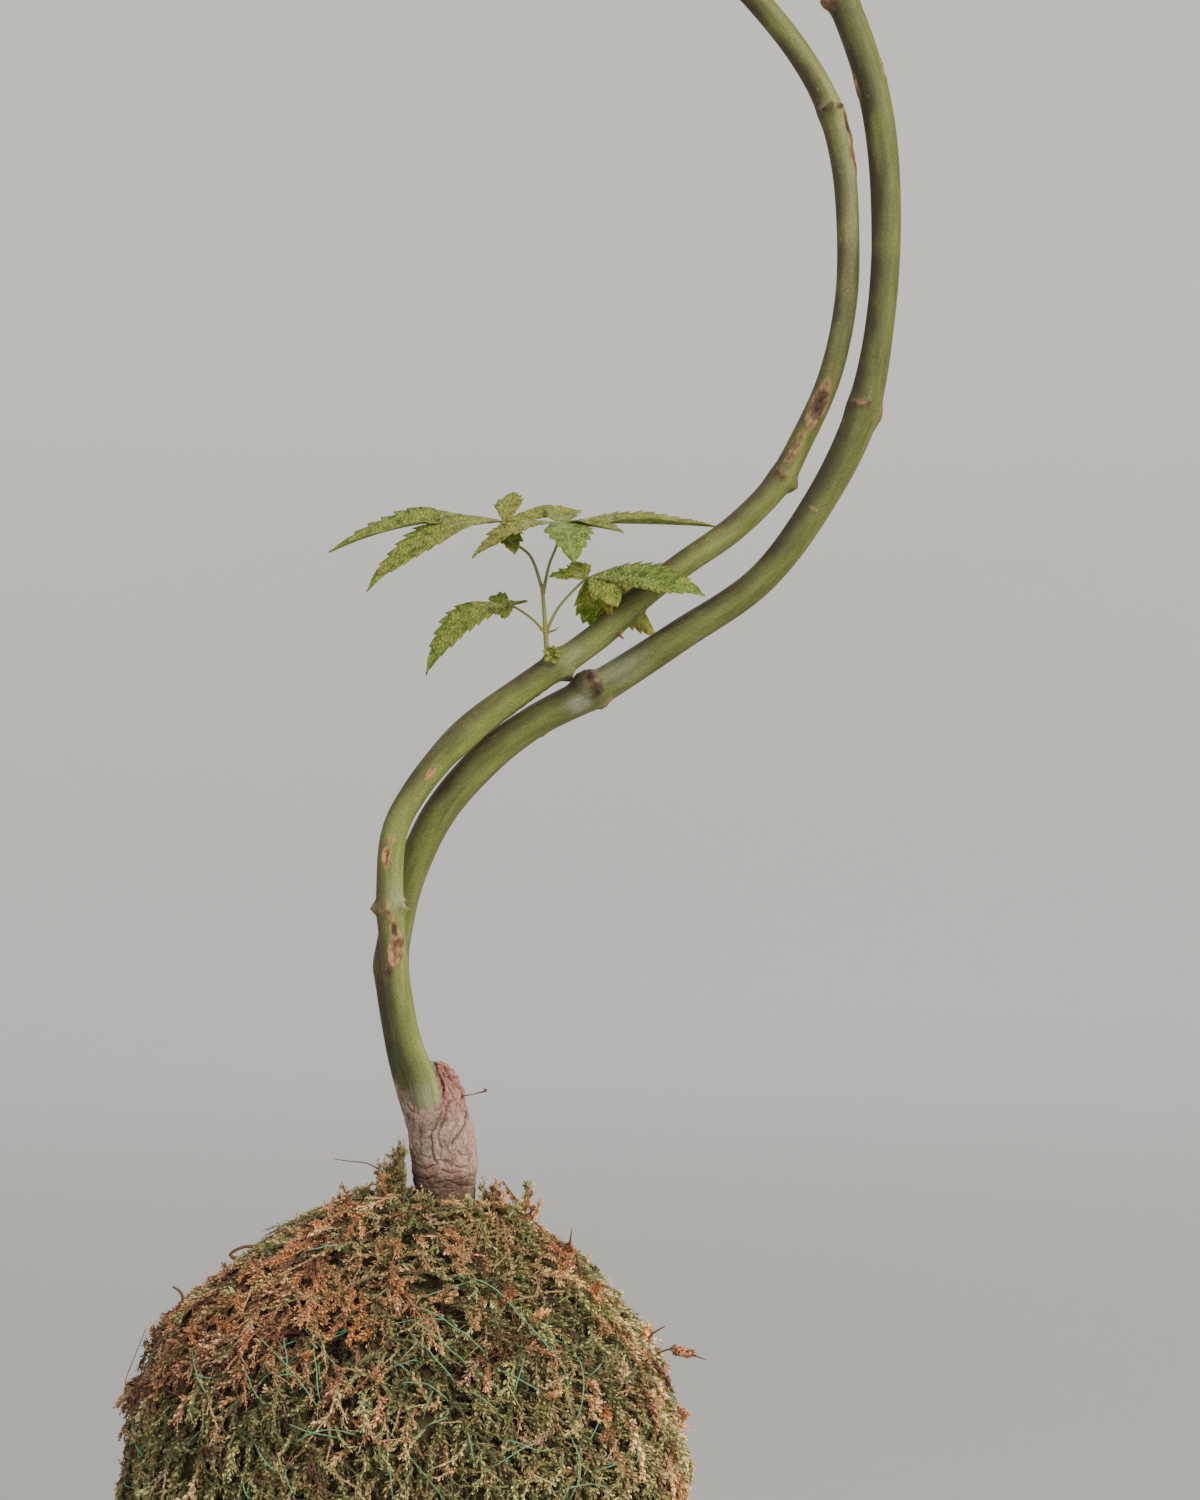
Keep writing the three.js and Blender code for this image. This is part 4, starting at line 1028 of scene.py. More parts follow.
# %% Bark relief
CREASES = [    # width and depth in mm, then points in pixels of the photograph
    (0.34, 0.9, [(442, 1110), (437, 1124), (431, 1137), (432, 1150), (437, 1164)]),
    (0.30, 0.8, [(449, 1100), (443, 1120), (439, 1134), (441, 1149), (441, 1160)]),
    (0.34, 1.0, [(468, 1112), (466, 1124), (459, 1134), (452, 1143)]),
    (0.30, 0.8, [(453, 1166), (447, 1161), (436, 1160)]),
    (0.26, 0.7, [(449, 1160), (457, 1167), (466, 1166)]),
    (0.34, 0.8, [(409, 1104), (414, 1110), (422, 1113), (431, 1112), (440, 1107), (446, 1098)]),
    (0.40, 1.0, [(396, 1090), (400, 1101), (404, 1111), (411, 1118)]),
    (0.30, 0.7, [(403, 1082), (402, 1094), (406, 1106)]),
    (0.36, 1.1, [(434, 1063), (438, 1075), (443, 1086), (444, 1098)]),
    (0.36, 0.9, [(444, 1065), (449, 1074), (457, 1084), (461, 1097)]),
    (0.28, 0.6, [(440, 1068), (446, 1080), (452, 1094), (454, 1110)]),
    (0.24, 0.7, [(412, 1163), (424, 1168), (436, 1166)]),
    (0.24, 0.7, [(440, 1170), (449, 1173), (462, 1171)]),
    (0.26, 0.8, [(413, 1176), (424, 1179), (433, 1177)]),
    (0.22, 0.6, [(440, 1178), (450, 1181), (460, 1179), (474, 1176)]),
    (0.30, 1.0, [(434, 1184), (450, 1181), (462, 1186), (474, 1185)]),
    (0.24, 0.6, [(416, 1186), (430, 1189), (444, 1188)]),
    (0.28, 0.5, [(417, 1120), (412, 1135), (415, 1150)]),
    (0.28, 0.5, [(424, 1122), (419, 1140), (422, 1158)]),
    (0.26, 0.5, [(458, 1120), (451, 1132), (447, 1148), (449, 1160)]),
    (0.26, 0.5, [(472, 1132), (467, 1146), (470, 1160)]), (0.26, 0.8, [(396, 1097), (403, 1098)]),
    (0.28, 0.9, [(397, 1105), (406, 1107)]), (0.26, 0.8, [(400, 1112), (410, 1114)]),
    (0.22, 0.6, [(456, 1150), (463, 1156), (472, 1155)]),
    (0.22, 0.6, [(418, 1154), (426, 1158), (433, 1156)]),
]


def in_photo(points):
    """Where the camera sees each point, in pixels of the photograph: a shift by the middle of the
    picture, a scale of 1 / PIXEL, and the scale of distance, 910 / (y + 910)."""
    scale = -CAMERA_AT[1] / (points[..., 1] - CAMERA_AT[1]) / PIXEL
    return np.stack([PICTURE_MIDDLE[0] + (points[..., 0] - CAMERA_AT[0]) * scale,
                     PICTURE_MIDDLE[1] - (points[..., 2] - CAMERA_AT[2]) * scale], axis=-1)


def beside(spots, line):
    """How far each spot is from a line of straight pieces: the least over the pieces of
    |spot - a - t (b - a)|, with t held from 0 to 1."""
    line = np.asarray(line, float)
    least = np.full(spots.shape[:-1], np.inf)
    for start, stop in zip(line[:-1], line[1:]):
        run = stop - start
        t = np.clip(((spots - start) @ run) / (run @ run), 0, 1)[..., None]
        least = np.minimum(least, np.linalg.norm(spots - start - t * run, axis=-1))
    return least


SWELLING_TO, CREASE = 153, 0.07              # mm up; how near zero the noise n makes a crease
level = smoothed * [1.0, 1.0, 2.6]           # flat cells: creases that run round
upright = smoothed * [1.0, 1.0, 0.3]         # tall cells: creases that run up
sway = noise(smoothed, 6, 50)[..., None]
up = z[:, None]
low_down = 1 / (1 + np.exp((up - SWELLING_TO) / 1.6))
folds = np.exp(-np.abs(rough(level + 2.5 * sway, 3.0, 51)) / CREASE)
splits = np.exp(-np.abs(rough(upright + 2.2 * sway, 2.2, 53)) / CREASE)
fine = folds * low_down + 0.45 * splits * (1 - 0.8 * low_down)
shaken = np.stack([noise(smoothed, 1.6, 61), noise(smoothed, 1.6, 62)], axis=-1)
spots = in_photo(smoothed) + 1.6 * shaken    # so that no drawn crease is quite smooth
drawn = np.zeros_like(radius)
for wide, deep, line in CREASES:
    drawn = np.maximum(drawn, deep * np.exp(-(beside(spots, line) * PIXEL / wide) ** 1.5))
drawn = drawn * np.clip(3 * np.cos(a) + 0.6, 0, 1)          # on the side that the photograph shows
crease = np.maximum(drawn, fine * 0.8)
torn = np.clip((smoothed[..., 0] - 7.5) / 2, 0, 1) * np.clip((up - 163) / 6, 0, 1)
lumps = 0.30 * rough(smoothed, 4, 54) + 0.16 * rough(smoothed, 1.3, 55)
shreds = torn * (0.5 * noise(smoothed * [1.0, 1.0, 0.35], 1.1, 64) + 0.25 * noise(smoothed, 0.6, 65))
# the rim of bark round the front stem's foot is a U, seen from the front
rim = 164.6 + 0.10 * (smoothed[..., 0] - 6.8) ** 2 + 0.7 * noise(smoothed, 2.2, 66)
collar = 1.7 * np.exp(-(((up - rim) / 3.2) ** 2)) * np.clip(np.cos(a), 0, 1)
ragged = 0.7 * noise(smoothed, 1.6, 56) + 0.5 * noise(smoothed, 0.7, 59)
ragged = ragged * np.clip((up - 170) / 5, 0, 1)
relief = lumps + shreds + collar + ragged - 0.55 * np.clip(crease, 0, 1.3)
outwards = np.stack([np.sin(a), -np.cos(a), 0 * a], axis=-1)
points, faces = closed((smoothed + outwards * relief[..., None])[None])
print("bark relief from", round(float(relief.min()), 1), "to", round(float(relief.max()), 1), "mm")

# %% Trunk bark
# Thin dry bark: matt, pinkish tan, browner in damp patches, redder on the torn stump, and finely
# fibrous. On the left, away from the light, it is painted greyer above and browner below as shade,
# and it is painted nearly black as shade in its creases and where it goes into the moss.
bark, tree, shader = finish("dry_bark", {"Roughness": 0.88, "Specular IOR Level": 0.3})
place = add(tree, "TexCoord").outputs["Object"]
crease_shade, damp_and_shade, torn_bark, grey_shade = (add(tree, "Attribute", {"attribute_name": key}).outputs["Fac"]
                                        for key in ("crease", "damp_and_shade", "torn", "grey_shade"))
upwards = add(tree, "Mapping", {"Scale": (1.0, 1.0, 0.3)}, {"Vector": place}).outputs["Vector"]
patch = add(tree, "TexNoise", {"Scale": 260.0, "Detail": 3.0, "Roughness": 0.6}, {"Vector": upwards})
fibre_grain = add(tree, "TexNoise", {"Scale": 1500.0, "Detail": 3.0, "Roughness": 0.65},
                  {"Vector": upwards})
speck = add(tree, "TexNoise", {"Scale": 1500.0, "Detail": 2.0}, {"Vector": place})
spread_out = add(tree, "MapRange", {"From Min": 0.35, "From Max": 0.65}, {"Value": patch.outputs["Fac"]})
shade = add(tree, "Mix", {"data_type": "RGBA", 6: rgba("#a5806f"), 7: rgba("#c6aa99")},
            {0: spread_out.outputs["Result"]}).outputs[2]
for colour, part in (("#85796a", grey_shade), ("#ad7769", torn_bark), ("#5c4036", damp_and_shade)):
    shade = add(tree, "Mix", {"data_type": "RGBA", 7: rgba(colour)}, {0: part, 6: shade}).outputs[2]
grain = add(tree, "Math", {"operation": "MULTIPLY"},
            {0: fibre_grain.outputs["Fac"], 1: speck.outputs["Fac"]})
level_of = add(tree, "MapRange", {"From Min": 0.14, "From Max": 0.38, "To Min": 0.6, "To Max": 1.3},
               {"Value": grain.outputs["Value"]})
shade = add(tree, "VectorMath", {"operation": "MULTIPLY"},
            {0: shade, 1: level_of.outputs["Result"]}).outputs["Vector"]
# painted shade: nearly black in the creases and where the bark goes into the moss
shade = add(tree, "Mix", {"data_type": "RGBA", 7: rgba("#33231d")}, {0: crease_shade, 6: shade}).outputs[2]
bump = add(tree, "Bump", {"Strength": 0.7, "Distance": 0.0005}, {"Height": grain.outputs["Value"]})
tree.links.new(shade, shader.inputs["Base Color"])
tree.links.new(bump.outputs["Normal"], shader.inputs["Normal"])

# %% Trunk
FOOT_TO = 151.5            # mm up, where the bark goes into the wet moss
# below FOOT_TO the bark is painted dark, as shade where it goes into the moss
foot_shade = np.clip((FOOT_TO - up) / 3, 0, 1) * np.clip(0.8 + 0.5 * noise(smoothed, 2.0, 68), 0, 1)
left = 0.5 - 0.5 * np.sin(a + 0.3)
# the left side, away from the light, is painted browner low down and greyer higher up, as shade; the noise
# adds damp patches anywhere
damp_and_left_shade = np.clip((1.2 * low_down + 0.15) * left + 0.4 * noise(smoothed, 3, 57), 0, 1) * 0.85
grey_shade_left = np.clip(left * 1.3 - 0.15 + 0.3 * noise(smoothed, 4, 63), 0, 1) * (1 - low_down) * 0.75
shares = {"crease": np.clip(np.maximum(crease, foot_shade) * 0.8, 0, 1), "damp_and_shade": damp_and_left_shade,
          "torn": torn * 0.75, "grey_shade": grey_shade_left}
piece("trunk_bark", points, faces, bark, replaces=["root_crown"],
      attributes={key: with_ends(share[None]) for key, share in shares.items()})

# %% [markdown]
# ## Roots
# Six roots leave the trunk's foot and bend down into the soil. Nobody sees them, but the plant
# would not stand or live without them.

# %% Roots
ROOT_ENDS = np.array([[46, -12, 84], [-26, -22, 80], [12, -44, 72], [-20, 30, 74], [30, 36, 86],
                      [8, 4, 42]])
TRUNK_FOOT, SIDES = 112, 14            # mm up, and points round a root
paths = np.stack([
    smooth_path([(TRUNK_X + x * 0.02, y * 0.05, 120, 4.2),
                 (TRUNK_X + (x - TRUNK_X) * 0.45, y * 0.45, TRUNK_FOOT - (TRUNK_FOOT - low) * 0.2, 3.0),
                 (x, y, low, 1.2)], 40) for x, y, low in ROOT_ENDS])
radius = np.repeat(paths[..., 3:], SIDES, axis=2) * (1 + 0.05 * np.sin(3 * round_about(SIDES)))
points, faces = closed(tube(paths[..., :3], radius, SIDES))
piece("roots", points, faces, bark, replaces=["root_crown"], attributes={
    key: np.full(len(points), share)
    for key, share in {"crease": 0.0, "damp_and_shade": 0.8, "torn": 0.0, "grey_shade": 0.0}.items()})

# %% [markdown]
# ## The two stems
# Smooth green bark over a long curve. A stem is a tube whose radius is worked out at every point
# from the distance s along it and the angle a round it: the CAD model's own radius, a little
# swelling at each node, and marks such as buds, healed wounds and leaf scars. Noise on a curved
# stem has to follow it, so each point also stores where it would be on a straight stem.

# %% Stem paths
FRONT_STEM = [    # x, y, z, radius
    (7.6, -3.6, 157.7, 3.9), (6.9, -4.4, 165.3, 3.85), (5.5, -4.5, 173.5, 3.65), (1.5, -4.5, 184.7, 3.45),
    (-1.7, -4.6, 203.7, 3.4), (-3.1, -4.5, 222.7, 3.45), (-1.8, -3.8, 238.4, 3.4), (3, -3.2, 247.9, 3.4),
    (10.1, -2.6, 257.1, 3.6), (14.9, -2.4, 261.9, 4.0), (20.3, -2.3, 266.7, 3.9), (32.9, -2, 275.9, 3.6),
    (51.1, -1, 288.9, 3.5), (61.3, 0, 298.4, 3.4), (71.7, 1, 306.5, 3.35), (85.4, 2.5, 316.3, 3.35),
    (96.3, 4, 327.5, 3.35), (102.3, 4.5, 338.2, 3.1), (110, 4.5, 355.5, 3), (114.1, 3.5, 375, 2.95),
    (114.5, 2, 392.8, 2.95), (113.1, 1, 409.4, 3.1), (109.7, 0, 423.4, 3.3), (102.2, -2, 436.8, 3.2),
    (90.0, -4, 451.6, 3.2), (76.6, -6, 464.2, 3), (64.5, -7, 475.7, 2.8), (55, -7, 487.7, 2.5),
    (50.5, -6, 501.7, 2.1),
]
BACK_STEM = [
    (6.6, 3.6, 157.7, 4.0), (4.0, 4.7, 165.3, 4.15), (2.4, 5.0, 170.4, 4.2), (-1, 5.2, 183.9, 4.1),
    (-3.3, 5.2, 202.8, 4.25), (-2.1, 5, 212.4, 4.25), (1.3, 4.6, 225.8, 4.1), (9.3, 3.6, 242.9, 4.25),
    (22.1, 2.6, 257.5, 4.45), (33.9, 1.8, 266.3, 4.2), (50.6, 0.6, 275.1, 4.45), (71.2, -1, 288.4, 4.1),
    (91.7, -2, 302.5, 3.85), (107, -3.5, 322.9, 4.1), (117.2, -4, 343.8, 4.35), (122, -4, 366.3, 3.7),
    (123.9, -3, 393.4, 3.8), (122, -1, 421.9, 4), (116.0, 1, 444.1, 4.05), (107.2, 3, 463.7, 4.0),
    (95, 4, 479.7, 3.6), (83, 5, 494.2, 3.2), (76.5, 5, 511.7, 2.6),
]

# %% [markdown]
# The marks are tables: how far up the stem, the angle round it in degrees (0 faces front, 90 is
# the right side, -90 the left), half length, half width and height in mm, and how tan and how dark
# it is. A knob is a soft bump, a few in a row make a crumbly scar, and one without height is a
# dark patch: on the front stem, painted shadow where the back stem comes close, with some dirt. A
# wound is a hollow with a raised lip and rings of healing wood in it, and ends with its slant in
# degrees a mm. A bloom has only its strength after the two half sizes; the front stem's last one is
# a painted sheen on its lit side.

# %% Marks on the stems
FRONT_KNOBS = np.array([
    [62.2, -84, 1.3, 1.3, 1.3, 0.8, 0.3], [62.4, 66, 1.7, 1.7, 1.7, 0.15, 0],
    [62.6, -14, 1.2, 0.7, 0.5, 0.9, 0.1], [60.8, -6, 1.0, 0.6, 0.5, 0.9, 0.5],
    [59.2, 4, 0.8, 0.5, 0.4, 0.9, 0.2], [46.6, -22, 1.6, 1.1, 0.3, 0.3, 0.8],
    [61.6, -62, 0.8, 1.6, 0.3, 0.7, 0.3], [46.2, -44, 1.3, 1.3, 0.4, 0.4, 0.7],
    [79.2, -5, 1.0, 1.2, 0.25, 0.9, 0], [91.5, 25, 0.5, 0.5, 0.2, 0.6, 0],
    [142.9, 76, 1.9, 1.8, 1.3, 0.1, 1], [142.9, -60, 2.2, 2.2, 0.9, 0.1, 0.1],
    # the dark patch at 130 mm on the right side is painted shadow where the back stem comes close, with some
    # dirt
    [130, 80, 14, 1.5, 0, 0, 0.45], [219.1, -24, 1.1, 0.9, 1.3, 0.4, 0.9],
    [218.6, 0, 0.9, 0.9, 1.0, 0.6, 0.6], [218.3, 90, 1.5, 1.4, 1.3, 0.4, 0.2],
    [223.1, -13, 1.2, 0.8, 0.35, 1, 0], [225.2, -2, 0.9, 0.5, 0.3, 1, 0],
    [227.1, -7, 1.6, 0.9, 0.4, 1, 0.1], [230.4, -11, 1.0, 0.7, 0.35, 1, 0.1],
    [225.2, -20, 0.7, 0.5, 0.25, 0.9, 0], [317.4, -25, 0.9, 1.0, 0.8, 0.4, 0.9],
    [317.6, 5, 1.0, 1.1, 0.9, 0.5, 0.8], [316.6, 35, 0.9, 1.2, 0.8, 0.5, 0.9],
    [317.6, -50, 0.8, 1.4, 0.5, 0.3, 0.6], [315.6, -12, 1.8, 2.4, 0.25, 0, 0.4],
    [160.2, 67, 0.6, 0.6, 0.5, 0.5, 0],
])
FRONT_WOUNDS = np.array([
    [51.3, 13, 3.3, 1.9, 0.7, 1.0, 0.05, 6], [56.6, 16, 2.5, 0.85, 0.6, 0.9, 0.9, 0],
    [63.0, 68, 1.25, 1.25, 0.5, 0.4, 0.8, 0], [74.8, -17, 2.1, 1.1, 0.4, 1, 0.1, 0],
    [99.2, 11, 1.6, 0.7, 0.35, 1, 0, 0], [239.0, 0, 5.4, 1.8, 0.7, 0.8, 0.75, 0],
    [311.8, 60, 4.2, 1.0, 0.5, 0.6, 0.9, -1], [304.6, 66, 4.6, 1.2, 0.5, 1, 0.1, 0],
])
BACK_KNOBS = np.array([
    [111, -60, 5.5, 1.7, 0.25, 0.15, 0.4], [46.9, -60, 6.0, 3.5, 0.35, 0.05, 0],
    [140.0, -22, 3.0, 2.8, 0.9, 0, 0], [139.0, -80, 3.2, 3.0, 1.3, 0, 0.1],
    [142.2, -62, 1.2, 1.1, 0.8, 0.1, 1], [142.6, -44, 1.2, 1.0, 1.0, 0.5, 0.6],
    [142.4, -34, 1.1, 1.0, 0.9, 0.2, 1], [142.9, -22, 1.1, 0.9, 1.1, 0.3, 1],
    [142.6, -10, 1.1, 0.9, 0.9, 0.6, 0.7], [142.5, 0, 1.1, 0.9, 1.1, 0.2, 1],
    [141.8, 9, 1.0, 0.9, 1.0, 0.2, 1], [140.9, 15, 1.0, 0.8, 0.9, 0.3, 1],
    [139.9, 19, 0.6, 0.5, 0.5, 0.5, 0.8], [141.2, -30, 0.8, 0.5, 0.4, 0.4, 0.9],
    [140.4, -8, 0.9, 0.6, 0.3, 0.3, 0.6], [140.8, 72, 1.6, 1.2, 0.8, 0.6, 0.2],
    [143.0, 60, 0.8, 0.6, 0.4, 0.8, 0.3], [243.3, -32, 0.9, 0.9, 0.7, 0.5, 0.7],
    [244.0, -12, 0.8, 0.9, 0.8, 0.7, 0.5], [244.6, 8, 0.8, 0.8, 0.7, 0.3, 0.9],
    [243.8, -10, 0.9, 3.4, 0.3, 0.2, 0.3], [242.2, 88, 2.6, 2.2, 0.6, 0.15, 0.1],
    [123.3, 88, 1.0, 0.8, 0.2, 0.6, 0], [351.7, -68, 2.4, 1.8, 1.6, 0.6, 0.3],
    [214.3, 3, 0.25, 1.8, 0.12, 0.7, 0],
])
BACK_WOUNDS = np.array([
    [139.8, -12, 1.7, 1.6, 0.15, 0.05, 0.05, 0], [330.2, 72, 2.6, 0.9, 0.35, 1, 0, 0],
    [327.7, -78, 3.6, 0.9, 0.35, 0.9, 0, 0], [170.0, 150, 2.6, 1.1, 0.4, 1, 0.1, 0],
    [290.0, -160, 3.0, 1.0, 0.4, 0.9, 0.2, 0],
])
FRONT_BLOOM_AND_SHEEN = np.array([[13, 10, 4, 5, 0.35], [65, 40, 4, 3, 0.3], [146, 20, 5, 4, 0.2],
                        # the last row is no bloom but a painted sheen along the lit right side of the front
                        # stem's top
                        [285, 50, 28, 3, 0.3]])
BACK_BLOOM = np.array([[136.0, 22, 3.0, 2.0, 1.5], [149, -10, 7, 4, 0.35], [50, 20, 6, 3, 0.25]])


def mark_distance(s, a, r, marks, slant=0.0):
    """For each mark, how far a point is from its middle, where 1 is the mark's own edge. A mark
    with a slant winds round the stem by that many degrees a mm."""
    up = s[..., None] - marks[:, 0]
    along = up / marks[:, 2]
    swing = (a[..., None] - np.radians(marks[:, 1] + slant * up) + np.pi) % (2 * np.pi) - np.pi
    return np.hypot(along, swing * r[..., None] / marks[:, 3])


def stem(name, path, nodes_at, knobs, wounds, blooms_and_sheen, bark_to, aged, replaces, seed):
    """A stem: r = path radius * (1 + 0.07 at each node) + knobs + wound lips - wound hollows. It
    draws in below, where the trunk's bark closes round it, and the bark climbs it a little way,
    farther at its sides than in front."""
    rows, sides = 820, 44
    foot = 6                                            # mm in which it widens from 0.7 of its radius
    line = smooth_path(path, rows)
    s = np.linspace(0, np.linalg.norm(np.diff(line[:, :3], axis=0), axis=1).sum(), rows)[:, None]
    a = np.repeat(round_about(sides)[None], rows, axis=0)
    s = np.repeat(s, sides, axis=1)
    r = np.repeat(line[:, 3:], sides, axis=1)
    straight = np.stack([r * np.cos(a), r * np.sin(a), s], axis=-1)
    grown = r * (1 + 0.015 * rough(straight * [1, 1, 0.3], 5, seed))
    grown = grown * (1 - 0.3 * np.clip(1 - s / foot, 0, 1))
    grown = grown + r * (0.07 * np.exp(-(((s[..., None] - nodes_at) / 3.0) ** 2))).sum(-1)
    worn = 0.22 * noise(straight, 1.1, seed + 5)        # uneven edges on every mark
    q = mark_distance(s, a, r, knobs) * (1 + worn[..., None])
    bump = np.exp(-(q**2.4))
    grown = grown + (knobs[:, 4] * bump).sum(-1)
    tan, dark_and_shadow = (knobs[:, 5] * bump).max(-1), (knobs[:, 6] * np.exp(-((q / 0.85) ** 3))).max(-1)
    # knobs are crumbly: grains stand up from them, darker than what lies between
    crumbs = 0.30 * noise(straight, 0.7, seed + 6) + 0.15 * noise(straight, 0.35, seed + 7)
    grown = grown + crumbs * np.clip(dark_and_shadow + tan, 0, 1)
    dark_and_shadow = dark_and_shadow * np.clip(1 + 3 * crumbs, 0.2, 1.5)
    q = mark_distance(s, a, r, wounds, wounds[:, 7]) * (1 + 0.4 * worn[..., None])
    lip, hollow = np.exp(-(((q - 1) / 0.28) ** 2)), 1 / (1 + np.exp((q - 0.75) / 0.08))
    ridges = np.cos(4 * np.pi * q) * hollow             # healing wood in rings, like a target
    grown = grown + (wounds[:, 4] * (0.75 * lip - 0.7 * hollow + 0.3 * ridges)).sum(-1)
    tan = np.clip(np.maximum(tan, (wounds[:, 5] * np.maximum(lip, hollow)).max(-1)), 0, 1)
    in_rings = (0.6 * np.clip(-ridges, 0, 1) * wounds[:, 5:7].max(axis=1)).max(-1)
    dark_and_shadow = np.clip(np.maximum(dark_and_shadow, (wounds[:, 6] * hollow).max(-1)) + in_rings, 0, 1)
    climbs = bark_to + 3.5 * np.sin(a)**2
    climbs = climbs + 1.2 * noise(straight, 3, seed + 8) + 0.8 * noise(straight, 0.9, seed + 9)
    bark_foot = np.clip((climbs - s) / 2.2, 0, 1)
    bloom_and_sheen = (blooms_and_sheen[:, 4] * np.exp(-mark_distance(s, a, r, blooms_and_sheen) ** 2)).sum(-1)
    points, faces = closed(tube(line[:, :3], grown, sides)[None])
    shares = {"straight": straight * MM, "tan": tan, "dark_and_shadow": dark_and_shadow, "foot": bark_foot,
              "bloom_and_sheen": np.clip(bloom_and_sheen, 0, 1), "aged": np.full((rows, sides), aged)}
    piece(name, points, faces, green_bark, replaces=replaces,
          attributes={key: with_ends(share[None]) for key, share in shares.items()})


# %% Green bark
# Young bark of a year or two: olive green, smooth with a waxy half-gloss, browner up the stem and
# in blotches, with small pale pores (lenticels) and here and there a whitish bloom. The left side,
# away from the light, is painted darker olive-brown as shade, and the top of the front stem has a
# pale painted sheen on its lit side.
green_bark, tree, shader = finish("green_bark", {"Roughness": 0.58, "IOR": 1.45,
                                                 "Specular IOR Level": 0.3})
straight = add(tree, "Attribute", {"attribute_name": "straight"}).outputs["Vector"]
tan, dark_and_shadow, foot, bloom_and_sheen, aged = (add(tree, "Attribute", {"attribute_name": key}).outputs["Fac"]
                                for key in ("tan", "dark_and_shadow", "foot", "bloom_and_sheen", "aged"))
parts = add(tree, "SeparateXYZ", links={"Vector": straight})
stretch = add(tree, "Mapping", {"Scale": (1.0, 1.0, 0.16)}, {"Vector": straight})
streaks = add(tree, "TexNoise", {"Scale": 420.0, "Detail": 4.0, "Roughness": 0.6},
              {"Vector": stretch.outputs["Vector"]})
blotch = add(tree, "TexNoise", {"Scale": 90.0, "Detail": 4.0}, {"Vector": straight})
wide_streaks = add(tree, "MapRange", {"From Min": 0.3, "From Max": 0.7},
                   {"Value": streaks.outputs["Fac"]})
shade = add(tree, "Mix", {"data_type": "RGBA", 6: rgba("#626a35"), 7: rgba("#8f9852")},
            {0: wide_streaks.outputs["Result"]}).outputs[2]
# the left side, where sin a is -1, away from the light, is painted darker olive-brown as shade; the
# share is broken up by the blotches and grows up the stem, where the bark itself is browner
left_shade = add(tree, "MapRange", {"From Min": 0.0019, "From Max": -0.0032},
                {"Value": parts.outputs["Y"]})
higher = add(tree, "MapRange", {"From Min": 0.12, "From Max": 0.28, "To Max": 0.22},
             {"Value": parts.outputs["Z"]})
brown_and_shade = add(tree, "Math", {"operation": "ADD"},
              {0: left_shade.outputs["Result"], 1: higher.outputs["Result"]})
brown_and_shade = add(tree, "Math", {"operation": "MULTIPLY"},
              {0: brown_and_shade.outputs["Value"], 1: blotch.outputs["Fac"]})
brown_and_shade = add(tree, "Math", {"operation": "MULTIPLY", 1: 1.75, "use_clamp": True},
              {0: brown_and_shade.outputs["Value"]})
# painted shade on the left, together with the browner bark higher up
shade = add(tree, "Mix", {"data_type": "RGBA", 7: rgba("#4a432d")},
            {0: brown_and_shade.outputs["Value"], 6: shade}).outputs[2]
# the right edge is dull and pinkish
right_edge = add(tree, "MapRange", {"From Min": 0.0032, "From Max": 0.0044, "To Max": 0.4},
                 {"Value": parts.outputs["Y"]})
shade = add(tree, "Mix", {"data_type": "RGBA", 7: rgba("#8a7458")},
            {0: right_edge.outputs["Result"], 6: shade}).outputs[2]
# a whitish bloom near the nodes, and on the front stem's top a pale painted sheen
part_bloom_and_sheen = add(tree, "Math", {"operation": "MULTIPLY"}, {0: bloom_and_sheen, 1: streaks.outputs["Fac"]})
shade = add(tree, "Mix", {"data_type": "RGBA", 7: rgba("#cbcebd")},
            {0: part_bloom_and_sheen.outputs["Value"], 6: shade}).outputs[2]
stretch = add(tree, "Mapping", {"Scale": (1.0, 1.0, 0.5)}, {"Vector": straight})
pores = add(tree, "TexVoronoi", {"Scale": 420.0, "Randomness": 1.0},
            {"Vector": stretch.outputs["Vector"]})
pore = add(tree, "MapRange", {"From Min": 0.12, "From Max": 0.06, "To Max": 0.4},
           {"Value": pores.outputs["Distance"]})
shade = add(tree, "Mix", {"data_type": "RGBA", 7: rgba("#a3936a")},
            {0: pore.outputs["Result"], 6: shade}).outputs[2]
down = add(tree, "TexNoise", {"Scale": 3000.0, "Detail": 1.0}, {"Vector": straight})
speckle = add(tree, "MapRange", {"From Min": 0.3, "From Max": 0.7, "To Min": 0.72, "To Max": 1.28},
              {"Value": down.outputs["Fac"]})
# the older stem is about a quarter darker
duller = add(tree, "Math", {"operation": "MULTIPLY_ADD", 1: -0.27, 2: 1.0}, {0: aged})
level = add(tree, "Math", {"operation": "MULTIPLY"},
            {0: speckle.outputs["Result"], 1: duller.outputs["Value"]})
shade = add(tree, "VectorMath", {"operation": "MULTIPLY"},
            {0: shade, 1: level.outputs["Value"]}).outputs["Vector"]
stretch = add(tree, "Mapping", {"Scale": (1.0, 1.0, 0.45)}, {"Vector": straight})
flaky = add(tree, "TexNoise", {"Scale": 900.0, "Detail": 4.0}, {"Vector": stretch.outputs["Vector"]})
flakes = add(tree, "MapRange", {"From Min": 0.38, "From Max": 0.62}, {"Value": flaky.outputs["Fac"]})
scar = add(tree, "Mix", {"data_type": "RGBA", 6: rgba("#764d37"), 7: rgba("#c3996f")},
           {0: flakes.outputs["Result"]}).outputs[2]
shade = add(tree, "Mix", {"data_type": "RGBA"}, {0: tan, 6: shade, 7: scar}).outputs[2]
old = add(tree, "Mix", {"data_type": "RGBA", 6: rgba("#6e5343"), 7: rgba("#a58a78")},
          {0: flakes.outputs["Result"]}).outputs[2]
shade = add(tree, "Mix", {"data_type": "RGBA"}, {0: foot, 6: shade, 7: old}).outputs[2]
